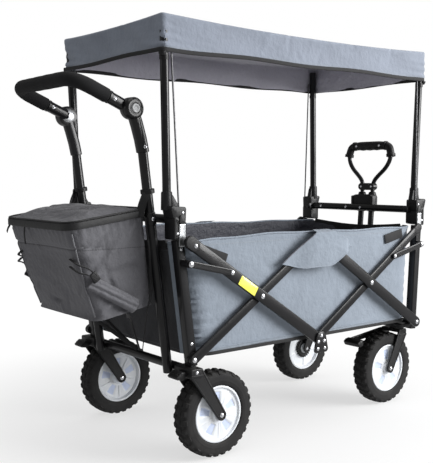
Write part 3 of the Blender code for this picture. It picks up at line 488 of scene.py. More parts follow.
def tyre_skin(x, y):
    """The tyre's cross-section spun round the axle: across s it runs from bead to bead, and blocks stand off it where a
    repeating function of the turn says so, shifted half a pitch from one shoulder to the other."""
    half = np.array([(0.0663, 0.0190), (0.0666, 0.0222), (0.0700, 0.0236), (0.0745, 0.0241), (0.0765, 0.0246),
                     (0.0785, 0.0242), (0.0840, 0.0240), (0.0880, 0.0236), (0.0915, 0.0224), (0.0940, 0.0202),
                     (0.0958, 0.0165), (0.0966, 0.0110), (0.0970, 0.0)])
    section = np.concatenate([half * (1, -1), half[-2::-1]])
    length = np.r_[0, np.cumsum(np.hypot(*np.diff(section, axis=0).T))]
    s = np.linspace(0, length[-1], 76)
    r, w = (np.interp(s, length, section[:, k]) for k in (0, 1))
    dr, dw = np.gradient(r), np.gradient(w)
    out = unit(np.stack([dw, -dr], -1))
    turn = np.linspace(0, 2 * np.pi, KNOBS * 11 + 1)[:, None]
    phase = turn * KNOBS / (2 * np.pi)
    shoulder = (phase + np.where(w < 0, 0.0, 0.5) + 6.0 * np.abs(w)) % 1
    centre = (phase + 0.25 + 14 * w) % 1
    block = lambda t, wide: soft_step(t, 0.03, 0.13) * (1 - soft_step(t, wide - 0.1, wide))
    on_shoulder = soft_step(r, 0.0895, 0.0915) * soft_step(np.abs(w), 0.0088, 0.0100)
    long_lug = np.where((np.floor(phase + np.where(w < 0, 0.0, 0.5) + 6.0 * np.abs(w)) % 2) > 0, 1.0,
                        soft_step(r, 0.0925, 0.0945))
    on_centre = 1 - soft_step(np.abs(w), 0.0060, 0.0072)
    tall = 0.0029 * np.maximum(on_shoulder * long_lug * block(shoulder, 0.66), on_centre * block(centre, 0.72))
    tall = np.minimum(tall, np.where(np.abs(w) > 0.0195, 0.0016, 0.0030))
    radius, wide = r + tall * out[:, 0], w + tall * out[:, 1]
    radius = np.minimum(radius, WHEEL_R)
    wide = np.clip(wide, -0.0250, 0.0250)
    grid = np.stack([x + radius * np.cos(turn), y + np.broadcast_to(wide, radius.shape),
                     WHEEL_R + radius * np.sin(turn)], -1)
    bore = np.stack([x + 0.0661 * np.cos(turn), np.full_like(turn, y), WHEEL_R + 0.0661 * np.sin(turn)], -1)
    return np.concatenate([bore, grid, bore], axis=1)


def hub_skin(x, y, side, both=False):
    """A height over turn and radius on each face: a dished web with a raised lip and centre boss. On the outside five
    windows are pressed in where |turn| is small about each spoke gap and the radius lies between 24 and 52 mm."""
    turn = np.linspace(0, 2 * np.pi, 181)[:, None]
    r = np.r_[0.0062, 0.0066, np.linspace(0.008, 0.0150, 5), np.linspace(0.017, 0.056, 34), 0.0575, 0.0590, 0.0604,
              0.0612,
              0.0640, 0.0650, 0.0657]
    lobe = np.abs((turn * 5 / (2 * np.pi) + 0.2) % 1 - 0.5) * 2 * np.pi / 5
    reach = 0.20 + 0.0016 / r
    window = (1 - soft_step(lobe, reach - 0.09, reach + 0.09)) * soft_step(r, 0.0225, 0.0265) * (1 - soft_step(r,
        0.049, 0.053))
    dish = np.interp(r, [0.006, 0.0066, 0.0135, 0.016, 0.057, 0.0600, 0.0612, 0.0645, 0.0657],
                     [0.0222, 0.0232, 0.0232, 0.0195, 0.0165, 0.0168, 0.0212, 0.0214, 0.0200])
    rib = 0.0010 * (1 - soft_step(np.abs(lobe - 2 * np.pi / 10), 0.02, 0.05)) * soft_step(r, 0.018,
        0.022) * (1 - soft_step(r, 0.055, 0.058))
    front = dish - 0.0024 * window + rib
    back = np.interp(r, [0.006, 0.0066, 0.0135, 0.019, 0.0575, 0.0610, 0.0657], [-0.0222, -0.0232, -0.0232, -0.0125,
        -0.0125, -0.0205, -0.0200])
    back = back + 0.002 * (1 - soft_step(np.abs(lobe - 2 * np.pi / 10), 0.02, 0.05)) * -soft_step(r, 0.022,
        0.026) * (1 - soft_step(r, 0.052, 0.056))
    back = back + 0.0016 * window * both
    depth = np.concatenate([np.broadcast_to(front, (181, len(r))), np.broadcast_to(back, (181, len(r)))[:, ::-1]],
                           axis=1)
    radius = np.broadcast_to(np.r_[r, r[::-1]], depth.shape)
    grid = np.stack([x + radius * np.cos(turn), y + side * depth, WHEEL_R + radius * np.sin(turn)], -1)
    # Faces on the window floors take the second finish, which is the painted shade of the recesses.
    painted_shade_faces = np.concatenate([np.broadcast_to(window > 0.5, (181, len(r))), (window > 0.5)[:, ::-1] & both], axis=1)
    painted_shade_faces = np.concatenate([painted_shade_faces, painted_shade_faces[:, :1]], axis=1)
    return np.concatenate([grid, grid[:, :1]], axis=1), (painted_shade_faces[:-1, :-1] & painted_shade_faces[1:, 1:]).astype(int).ravel()


def toothed_ring(x, y, side):
    """The brake ring on the hub's inner face: its rim follows a square-topped wave of 22 teeth."""
    turn = np.linspace(0, 2 * np.pi, 265)[:, None]
    rim = 0.0272 + 0.0024 * np.tanh(4 * np.sin(22 * turn))
    r = np.concatenate([np.full_like(turn, 0.0142), np.full_like(turn, 0.0142), rim - 0.0006, rim, rim,
                        np.full_like(turn, 0.0142)], 1)
    depth = np.array([-0.0120, -0.0196, -0.0196, -0.0190, -0.0120, -0.0120])
    return np.stack([x + r * np.cos(turn), y + side * depth + 0 * turn, WHEEL_R + r * np.sin(turn)], -1)


for tag, side in SIDES:
    for end, x, track in (("rear", -REAR_AXLE, REAR_TRACK), ("front", CASTER_AXLE, CASTER_TRACK)):
        y = side * track
        body = f"{end}_wheel_{tag}"
        build(f"{end}_tyre_tread_{tag}", [tyre_skin(x, y)], [TYRE_RUBBER], body, [f"{end}_tyre_{tag}"],
              sharp=32)
        build(f"{end}_hub_disc_{tag}", [hub_skin(x, y, side, end == "rear")], [HUB_WHITE, HUB_WINDOW_PAINTED_SHADE], body,
              [f"{end}_hub_{tag}"], sharp=50)
        if end == "front":
            build(f"{end}_brake_ring_{tag}", [toothed_ring(x, y, side)], [BLACK_PLASTIC], body)

# ---- Forks, casters and brake pedals
# Moulded black forks with pressed-in outer faces; the rear pair is fixed under the posts, the front pair
# swivels on a stem with a washer and lock nut. Bolts with domed bright heads hold the wheels.

HALF_FORK, LEG_T = 0.0331, 0.0055


def fork_skins(x0, x1, crown, leg_top, x_axle, y):
    """Two tapering legs and the crown that joins them."""
    legs = [plate(belt((x0 + 0.004, leg_top - 0.004, 0.004), (x1 - 0.004, leg_top - 0.004, 0.004),
                       (x0 + 0.003, leg_top - 0.018, 0.003),
                       (x1 - 0.003, leg_top - 0.018, 0.003), (x_axle, WHEEL_R, 0.0125)),
                  y + s * (HALF_FORK - LEG_T), y + s * HALF_FORK, 0.0011, (0.0034, 0.0012)) for s in (1, -1)]
    middle = ((x0 + x1) / 2, (crown[0] + crown[1]) / 2)
    block = outline_box(x1 - x0, crown[1] - crown[0], 0.003) + middle
    cross = plate(block, y - HALF_FORK + 0.0006, y + HALF_FORK - 0.0006, 0.0012)
    top_rib = outline_box(x1 - x0 + 0.0016, 0.0045, 0.0012) + (middle[0], leg_top - 0.0155)
    ribs = [plate(top_rib, y + s * (HALF_FORK - 0.0025), y + s * (HALF_FORK + 0.0007), 0.0006) for s in (1, -1)]
    axle = turned([(0, -HALF_FORK + 0.001), (0.0049, -HALF_FORK + 0.001), (0.0049, HALF_FORK - 0.001),
                   (0, HALF_FORK - 0.001)],
                  (x_axle, y, WHEEL_R))
    return [*legs, cross, *ribs, axle]


for tag, side in SIDES:
    y = side * REAR_TRACK
    top = 0.2165
    build("rear_fork_moulding_" + tag, fork_skins(-0.398, -0.366, (top - 0.0225, top), top - 0.0005, -REAR_AXLE, y),
          [BLACK_PLASTIC], "rear_end", ["rear_fork_" + tag])
    bolts = [rivet(-REAR_AXLE, WHEEL_R, REAR_TRACK + HALF_FORK - 0.0012, side, 0.0062, 0.0036),
             rivet(-REAR_AXLE, WHEEL_R, HALF_FORK - REAR_TRACK - 0.0012, -side, 0.0062, 0.0026),
             rivet(-0.3825, 0.2115 - 0.004, REAR_TRACK + HALF_FORK - 0.0011, side, 0.0042, 0.0018)]
    build("rear_fork_bolts_" + tag, bolts, [BRIGHT], "rear_end")
    hinge = (-0.398 - 0.0058, top - 0.013)
    pedal = belt((*hinge, 0.0055), (-0.4100, hinge[1] - 0.0085, 0.0025), (-0.4235, hinge[1] - 0.0065, 0.0025),
                 (-0.4255, hinge[1] - 0.0045, 0.0022),
                 (-0.4140, hinge[1] + 0.0055, 0.0018))
    ridges = [plate(outline_box(0.0016, 0.0016, 0.0007, 4) + (xr, hinge[1] + 0.0072 - 0.5 * (abs(xr) - 0.414)),
                    side * (REAR_TRACK - 0.015), side * (REAR_TRACK + 0.015), 0.0004)
              for xr in (-0.4150, -0.4190, -0.4230)]
    build("rear_brake_pedal_" + tag, [plate(pedal, side * (REAR_TRACK - 0.018), side * (REAR_TRACK + 0.018), 0.0018),
                                      *ridges],
          [BLACK_PLASTIC], "rear_pedal_" + tag, ["rear_brake_" + tag])

    y = side * CASTER_TRACK
    skins = fork_skins(0.367, 0.397, (0.1965, 0.2065), 0.206, CASTER_AXLE, y)
    stem = [(0, -0.0065), (0.0125, -0.0065), (0.0125, -0.0012), (0.0105, 0.0), (0.0072, 0.0), (0.0072, 0.0205),
            (0, 0.0205)]
    skins.append(turned(stem, (0.375, y, 0.2065), (0, 0, 1), 28))
    skins.append(turned([(0, 0), (0.0108, 0), (0.0108, 0.0012), (0.0072, 0.0012), (0.0072, 0.0016), (0, 0.0016)],
                        (0.375, y, 0.2266), (0, 0, 1), 6))
    build("caster_fork_moulding_" + tag, skins, [BLACK_PLASTIC], "caster_" + tag, ["caster_fork_" + tag])
    bolts = [rivet(CASTER_AXLE, WHEEL_R, CASTER_TRACK + HALF_FORK - 0.0012, side, 0.0062, 0.0036),
             turned([(0, 0.0020), (0.0038, 0.0016), (0.0052, 0), (0, 0)],
                    (CASTER_AXLE, side * (CASTER_TRACK - HALF_FORK + 0.0012), WHEEL_R), (0, -side, 0), 18)]
    build("caster_bolts_" + tag, bolts, [BRIGHT], "caster_" + tag)
    inner, top, px = CASTER_TRACK - HALF_FORK - 0.0010, 0.2035, (0.214, 0.236)
    arm = belt((0.3690, top - 0.002, 0.002), (0.3690, top - 0.016, 0.002), (px[1], top - 0.028, 0.002),
               (px[0] + 0.005, top - 0.024, 0.002),
               (px[0] + 0.005, top - 0.020, 0.002))
    pad = belt((px[0] + 0.002, top - 0.022, 0.002), (px[0] + 0.007, top - 0.030, 0.002), (px[1] - 0.003, top - 0.027,
        0.002),
               (px[1] - 0.003, top - 0.015, 0.002), (px[0] + 0.008, top - 0.0165, 0.0015))
    build("caster_brake_lever_" + tag, [plate(arm, side * (inner - 0.005), side * inner, 0.0012, (0.0028, 0.0008)),
                                        plate(pad, side * (inner - 0.0045), side * 0.181, 0.0018)],
          [BLACK_PLASTIC], "caster_pedal_" + tag, ["caster_brake_" + tag])

# ---- Scissor bars, links and middle plates
# Flat oval steel tube, black, in two layers a side; the free upper ends wear plastic caps, and a yellow
# reflective strip is stuck on the rear bar. Short links steady the bars from the posts.

REFLECTOR = hard_finish("yellow_reflective_strip", (0.92, 0.90, 0.10), 0.3, 0.0, (0.75, 0.72, 0.2), 0.2, 0.03,
                        0.0024, 0.5, 0.6)
# The strip is given a weak emission: a painted glow for the light its reflective film throws back.
strip_painted_glow = REFLECTOR.node_tree.nodes["Principled BSDF"]
strip_painted_glow.inputs["Emission Color"].default_value = (0.9, 0.9, 0.12, 1)
strip_painted_glow.inputs["Emission Strength"].default_value = 0.25
HALF_SPAN, LOW_Z = PIVOT
HIGH_Z, CROSS_Z = 0.485, 0.35925  # the upper middle joint, and where two bars cross
SLOPE = np.array([HALF_SPAN, 0.2515]) / np.hypot(HALF_SPAN, 0.2515)


def flat_bar(a, b, width, y0, y1):
    """A belt round two equal circles, pressed through the thickness from y0 to y1 with rounded edges."""
    return plate(belt((*a, width / 2), (*b, width / 2), n=96), y0, y1, 0.0028, steps=5)


rear_low, rear_mid, mid_top = (-HALF_SPAN, LOW_Z), (-HALF_SPAN / 2, CROSS_Z), (0.0, HIGH_Z)
mid_low, front_mid, front_low = (0.0, LOW_Z), (HALF_SPAN / 2, CROSS_Z), (HALF_SPAN, LOW_Z)
PAST_END = 0.019  # how far a free upper end runs on past its rivet
rear_tip, front_tip = [(way * (HALF_SPAN + PAST_END * SLOPE[0]), HIGH_Z + PAST_END * SLOPE[1]) for way in (-1, 1)]
for tag, side in SIDES:
    inner, outer = (side * LAYER[0], side * (LAYER[0] + 0.009)), (side * LAYER[1], side * (LAYER[1] + 0.009))
    for name, a, b, width, (y0, y1), body, heads in (
            ("bar_rear_rising", rear_low, mid_top, 0.022, inner, "bars_rear_rising", (rear_mid, mid_top)),
            ("bar_rear_falling", rear_tip, mid_low, 0.028, outer, "bars_rear_falling", ()),
            ("bar_front_falling", mid_top, front_low, 0.028, outer, "bars_front_falling", ()),
            ("bar_front_rising", mid_low, front_tip, 0.022, inner, "bars_front_rising", (front_mid,))):
        skins = [flat_bar(a, b, width, y0, y1)]
        build(f"{name}_tube_{tag}", skins, [BLACK_STEEL], body, [f"{name}_{tag}"])
        if heads:
            build(f"{name}_rivets_{tag}", [rivet(x, z, 0.2462, side) for x, z in heads], [BRIGHT], body)
    for name, tip, way, width, (y0, y1), body in (("rear_bar_cap", rear_tip, 1, 0.0295, outer, "bars_rear_falling"),
                                                  ("front_bar_cap", front_tip, -1, 0.0235, inner, "bars_front_rising")):
        back = (tip[0] + way * SLOPE[0] * 0.012, tip[1] - SLOPE[1] * 0.012)
        cap = plate(belt((*tip, width / 2), (*back, width / 2)), y0 - side * 0.0003, y1 + side * 0.0005, 0.0024,
                    steps=5)
        build(f"{name}_{tag}", [cap], [BLACK_PLASTIC], body)
    tops = [rivet(rear_tip[0] + 0.012, rear_tip[1] - 0.008, 0.2466, side, 0.0052)]
    build(f"rear_bar_cap_rivet_{tag}", tops, [BRIGHT], "bars_rear_falling")
    # The strip: a thin oblong laid along the bar, 58 mm by 23 mm.
    along = np.array([SLOPE[0], -SLOPE[1]])
    across = np.array([SLOPE[1], SLOPE[0]])
    flat = outline_box(0.058, 0.0225, 0.0015)
    strip = np.array([-0.2362, 0.3878]) + flat[:, :1] * along + flat[:, 1:] * across
    build(f"reflective_strip_{tag}", [plate(strip, side * 0.2459, side * 0.24645, 0.0002)], [REFLECTOR],
          "bars_rear_falling")

    drop = np.radians(13)
    for end, way, layer, body in (("rear", -1, LAYER[2], "rear_links"), ("front", 1, LAYER[1], "front_links")):
        near = (way * LINK_AT[0], LINK_AT[1])
        far = (near[0] - way * 0.118 * np.cos(drop), near[1] - 0.118 * np.sin(drop))
        skins = [plate(belt((*near, 0.0075), (*far, 0.0075)), side * layer, side * (layer + 0.006), 0.0016,
                       (0.0028, 0.0008), 4)]
        build(f"{end}_link_bar_{tag}", skins, [BLACK_STEEL], body, [f"{end}_link_{tag}"])
        build(f"{end}_link_rivet_{tag}", [rivet(*far, layer + 0.0059, side, 0.0056, 0.0024)], [BRIGHT], body)

    shape = belt((0, 0.2365, 0.017), (-0.015, 0.2095, 0.0085), (0.015, 0.2095, 0.0085))
    build(f"middle_plate_{tag}", [plate(shape, side * 0.2463, side * 0.2503, 0.0009),
                                  turned([(0, 0), (0.0039, 0), (0.0039, 0.011), (0, 0.011)],
                                         (0, side * 0.2365, 0.2335), (0, side, 0), 16)],
          [BLACK_STEEL], "bars_front_rising", [f"rivet_plate_{tag}"])
    dots = [rivet(x, 0.2335 + z, 0.2502, side, 0.0046, 0.0020)
            for x, z in ((0, 0.010), (-0.010, -0.004), (0.010, -0.004), (-0.012, -0.022), (0.012, -0.022))]
    build(f"middle_plate_rivets_{tag}", dots, [BRIGHT], "bars_front_rising")

# ---- Corner brackets and upper crossbars
# Moulded black corners pressed over the post tops, each with a diagonal gusset and a socket for a canopy
# post; a bright spring clip holds each to its post, and a round tube with rivets joins each pair.

GREY_CLIP = hard_finish("brushed_clip_steel", (0.36, 0.37, 0.38), 0.33, 0.9, (0.55, 0.55, 0.56), 0.4, 0.03, 0.0006, 0.2)
for end, top_x, way, foot_x in (("rear", REAR_TOP_X, -1, -0.4300), ("front", FRONT_TOP_X, 1, 0.4190)):
    for tag, side in SIDES:
        y = side * 0.2045
        mid = top_x + way * 0.001
        core = belt(*((mid + way * sx * 0.0115, z, 0.0045) for sx, z in ((-1, 0.5085), (1, 0.5050), (-1, 0.5360),
            (1, 0.5460))))
        head = belt((mid - way * 0.0085, 0.5440, 0.0070), (mid + way * 0.0130, 0.5520, 0.0060),
                    (mid - way * 0.0115, 0.5670, 0.0050),
                    (mid + way * 0.0190, 0.5690, 0.0050))
        gusset = belt((mid - way * 0.0130, 0.5620, 0.004), (mid + way * 0.016, 0.5640, 0.004),
                      (foot_x - way * 0.010, 0.5950, 0.0030), (foot_x + way * 0.004, 0.6060, 0.0025))
        ear = belt((mid - way * 0.019, 0.5440, 0.0085), (mid, 0.5440, 0.0105))
        skins = [plate(core, side * 0.1868, side * 0.2256, 0.0016, (0.0050, 0.0010)), plate(head, side * 0.1885,
            side * 0.2248, 0.0018),
                 plate(gusset, side * 0.1935, side * 0.2070, 0.0014), plate(ear, side * 0.1868, side * 0.2000, 0.0014)]
        socket = [(0.0092, 0.0010), (0.0124, 0.0000), (0.0128, 0.0012), (0.0122, 0.0370), (0.0112, 0.0400),
                  (0.0092, 0.0400), (0.0092, 0.0010)]
        skins.append(turned(socket, (foot_x, side * 0.1990, 0.565), (0, 0, 1), 28))
        build(f"{end}_bracket_moulding_{tag}", skins, [BLACK_PLASTIC], f"{end}_end",
              [f"{end}_bracket_{tag}"])
        heads = [rivet(mid - way * 0.0075, 0.5590, 0.2240, side, 0.0036, 0.0016), rivet(mid + way * 0.0075, 0.5140,
            0.2250, side, 0.0034, 0.0014),
                 turned([(0, 0.0018), (0.003, 0.0014), (0.0042, 0), (0, 0)], (mid - way * 0.019, side * 0.1868,
                     0.544), (0, -side, 0), 14)]
        build(f"{end}_bracket_rivets_{tag}", heads, [BRIGHT], f"{end}_end")
        clip = outline_box(0.0170, 0.050, 0.0022) + (top_x - way * 0.0035, 0.5100)
        build(f"{end}_post_clip_{tag}", [plate(clip, side * 0.2228, side * 0.2266, 0.0010, (0.0022, 0.0005))],
              [GREY_CLIP], f"{end}_end")
        cap = belt((top_x - way * 0.0080, 0.5390, 0.0040), (top_x + way * 0.0010, 0.5390, 0.0040),
                   (top_x - way * 0.0035, 0.5480, 0.0075))
        build(f"{end}_clip_cap_{tag}", [plate(cap, side * 0.2222, side * 0.2274, 0.0014)], [BLACK_PLASTIC],
              f"{end}_end")
    build(f"{end}_upper_crossbar_tube",
          [carried([(top_x, -0.1862, 0.544), (top_x, 0.1862, 0.544)], outline_ring(0.010, 28), (1, 0, 0))],
          [BLACK_STEEL], f"{end}_end", [f"{end}_upper_crossbar"])
    heads = [turned([(0, 0.0016), (0.003, 0.0013), (0.0043, 0), (0.0043, -0.001), (0, -0.001)],
                    (top_x - 0.0099, yy, 0.544), (-1, 0, 0), 14)
             for yy in (-0.012, 0.045, 0.15)]
    build(f"{end}_crossbar_rivets", heads, [BRIGHT], f"{end}_end")

# ---- Tub
# Slate grey woven polyester with a dark coated back, cut as four panels and a floor, hung inside the bars from the
# posts. Its inside, end panels and floor take darker copies of the cloth: painted shade for where they lie in shadow.
# Its edges are hemmed and stitched, its foot is bound in black, and elastic gathers it by the posts.

# Weave: over-and-under threads on a cut-cloth map in metres. Height is the threads' relief, Slub their uneven tone.
WEAVE, inside, outside = new_group("weave", [("Cut", "Vector", None), ("Pitch", "Float", 0.0011)],
                                   [("Height", "Float"), ("Slub", "Float")])
turns = wired(WEAVE, "Math", {0: np.pi, 1: (inside, "Pitch")}, operation="DIVIDE")
xy = wired(WEAVE, "SeparateXYZ", {0: (inside, "Cut")})
waves = [wired(WEAVE, "Math", {0: (wired(WEAVE, "Math", {0: (xy, axis), 1: (turns, 0)}, operation="MULTIPLY"), 0)},
               operation="SINE")
         for axis in ("X", "Y")]
cross = wired(WEAVE, "Math", {0: (waves[0], 0), 1: (waves[1], 0)}, operation="MULTIPLY")
over = wired(WEAVE, "MapRange", {"Value": (cross, 0), "From Min": -0.4, "From Max": 0.4})
warp, weft = (wired(WEAVE, "Math", {0: (wave, 0)}, operation="ABSOLUTE") for wave in waves)
thread = wired(WEAVE, "Mix", {0: (over, 0), 2: (warp, 0), 3: (weft, 0)})
stretch = wired(WEAVE, "Mapping", {"Vector": (inside, "Cut"), "Scale": (900.0, 60.0, 1.0)})
slub = wired(WEAVE, "TexNoise", {"Vector": (stretch, 0), "Scale": 1.0, "Detail": 2.0})
WEAVE.links.new(thread.outputs[0], outside.inputs["Height"])
WEAVE.links.new(slub.outputs[0], outside.inputs["Slub"])

# Stitches: dashes along a line. Off is the distance from the line, Along runs beside it, both in metres.
STITCHES, inside, outside = new_group("stitches", [("Along", "Float", 0.0), ("Off", "Float", 1.0)],
                                      [("Thread", "Float")])
near = wired(STITCHES, "Math", {0: (inside, "Off"), 1: 0.0, 2: 0.0009}, operation="COMPARE")
count = wired(STITCHES, "Math", {0: (inside, "Along"), 1: 0.0055}, operation="DIVIDE")
part = wired(STITCHES, "Math", {0: (count, 0)}, operation="FRACT")
dash = wired(STITCHES, "Math", {0: (part, 0), 1: 0.72}, operation="LESS_THAN")
thread = wired(STITCHES, "Math", {0: (near, 0), 1: (dash, 0)}, operation="MULTIPLY")
STITCHES.links.new(thread.outputs[0], outside.inputs["Thread"])


def cloth_finish(name, colour, pitch=0.0011, rough=0.82, crumple=0.5, seams=(), thread=(0.26, 0.29, 0.33),
                 sheen=0.12, dust=0.06):
    """Woven cloth: threads and slubs on the cut map, painted shade in the weave's hollows, slow fading that is partly
    painted shade of soft folds, small crumples in the bump, and stitched lines at the given heights of the cut map's
    second number."""
    made = bpy.data.materials.new(name)
    made.use_nodes = True
    tree = made.node_tree
    shader = tree.nodes["Principled BSDF"]
    shader.inputs["Sheen Weight"].default_value = sheen
    shader.inputs["Sheen Roughness"].default_value = 0.5
    place, cut = wired(tree, "TexCoord"), wired(tree, "UVMap", uv_map="cut")
    weave = placed(tree, WEAVE, {"Cut": (cut, 0), "Pitch": pitch})
    mottle = placed(tree, MOTTLE, {"Vector": (place, "Object"), "Size": 0.09, "Grain": 0.012})
    dusty = placed(tree, DUST, {"Vector": (place, "Object"), "Amount": dust})
    # The broad mottle shifts the cloth's colour: partly uneven dye and handling, partly painted shade for soft folds.
    base = wired(tree, "Mix", {"Factor": (mottle, "Shade"), 6: (*(c * 0.86 for c in colour), 1),
                               7: (*(c * 1.14 for c in colour), 1)}, data_type="RGBA")
    tone = wired(tree, "MapRange", {"Value": (weave, "Slub"), "To Min": 0.86, "To Max": 1.14})
    # The colour is darkened where the weave lies low: painted shade in the hollows between threads.
    weave_hollow_shade = wired(tree, "MapRange", {"Value": (weave, "Height"), "To Min": 0.80, "To Max": 1.06})
    both = wired(tree, "Math", {0: (tone, 0), 1: (weave_hollow_shade, 0)}, operation="MULTIPLY")
    woven = wired(tree, "Mix", {"Factor": 1.0, 6: (base, 2), 7: (both, 0)}, data_type="RGBA", blend_type="MULTIPLY")
    last, lift = woven, wired(tree, "Math", {0: (weave, "Height"), 1: 0.2}, operation="MULTIPLY")
    where = wired(tree, "SeparateXYZ", {0: (cut, 0)})
    for line in seams:
        off = wired(tree, "Math", {0: (where, "Y"), 1: line}, operation="SUBTRACT")
        row = placed(tree, STITCHES, {"Along": (where, "X"), "Off": (off, 0)})
        last = wired(tree, "Mix", {"Factor": (row, 0), 6: (last, 2), 7: (*thread, 1)}, data_type="RGBA")
        lift = wired(tree, "Math", {0: (row, 0), 1: 1.2, 2: (lift, 0)}, operation="MULTIPLY_ADD")
    final = wired(tree, "Mix", {"Factor": (dusty, "Lies"), 6: (last, 2), 7: (0.40, 0.39, 0.37, 1)}, data_type="RGBA")
    tree.links.new(final.outputs[2], shader.inputs["Base Color"])
    gloss = wired(tree, "MapRange", {"Value": (weave, "Slub"), "To Min": rough - 0.06, "To Max": rough + 0.06})
    tree.links.new(gloss.outputs[0], shader.inputs["Roughness"])
    ease = wired(tree, "Bump", {"Height": (mottle, "Fine"), "Strength": crumple, "Distance": 0.0022})
    threads = wired(tree, "Bump", {"Height": (lift, 0), "Strength": 0.35, "Distance": 0.0004, "Normal": (ease, 0)})
    tree.links.new(threads.outputs[0], shader.inputs["Normal"])
    return made


SLATE = cloth_finish("slate_woven_cloth", (0.255, 0.295, 0.350), crumple=0.9, seams=(0.0075, 0.2480))
# The tub's end panels and floor take a near-black copy of the slate cloth: painted shade for the shadow they lie in.
TUB_PAINTED_SHADE_CLOTH = cloth_finish("tub_painted_shade_cloth", (0.028, 0.029, 0.034), seams=(0.0075, 0.2360),
                        thread=(0.08, 0.08, 0.09), dust=0.03)
# The lining is the cloth's dark coated back, made darker still: painted shade for the shaded insides it lines.
LINING_PAINTED_SHADE = cloth_finish("coated_lining_painted_shade", (0.048, 0.050, 0.066), 0.0016, 0.62, 1.5)
WEBBING = cloth_finish("black_webbing", (0.009, 0.009, 0.010), 0.0022, 0.78, 0.25, sheen=0.05)


def creased(a, b, lines):
    """Soft ridges on a flat map. Each line is (a0, b0, a1, b1, height, width): the height dies away as a bell curve
    across the line and as a half circle along it."""
    total = np.zeros(np.broadcast(a, b).shape)
    for a0, b0, a1, b1, tall, wide in lines:
        long = max(np.hypot(a1 - a0, b1 - b0), 1e-6)
        ua, ub = (a1 - a0) / long, (b1 - b0) / long
        along = ((a - a0) * ua + (b - b0) * ub) / long
        off = (a - a0) * -ub + (b - b0) * ua
        off = off + 0.12 * wide * np.sin(9 * along + 40 * a0)
        total += tall * np.exp(-((off / wide) ** 2)) * np.sqrt(np.clip(4 * along * (1 - along), 0, 1))
    return total


def loose_creases(seed, count, a_range, b_range, long, tall, wide, lean=None, spread=0.5):
    """Seeded creases scattered over a patch; lean is their mean direction in radians."""
    dice = np.random.default_rng(seed)
    a, b = dice.uniform(*a_range, count), dice.uniform(*b_range, count)
    way = dice.uniform(0, np.pi, count) if lean is None else dice.normal(lean, spread, count)
    reach, high, broad = dice.uniform(*long, count), dice.uniform(*tall, count) * dice.choice((-1, 1),
        count), dice.uniform(*wide, count)
    return np.stack([a, b, a + reach * np.cos(way), b + reach * np.sin(way), high, broad], -1)


NOTCH = np.array([(0.0, -0.0520), (0.0055, -0.0305), (0.0120, -0.0220), (0.0220, -0.0115), (0.0340, -0.0035),
                  (0.050, 0.0)])
TUB_Z, RIM_Z, TUB_W = 0.2378, 0.4975, 0.2225


def tub_end_x(z, front):
    """The end panels lean with the posts."""
    return 0.396 + 0.018 * (z - 0.2095) / 0.2905 - 0.0125 if front else -0.374 - 0.037 * (z - 0.2168) / 0.2832 + 0.002


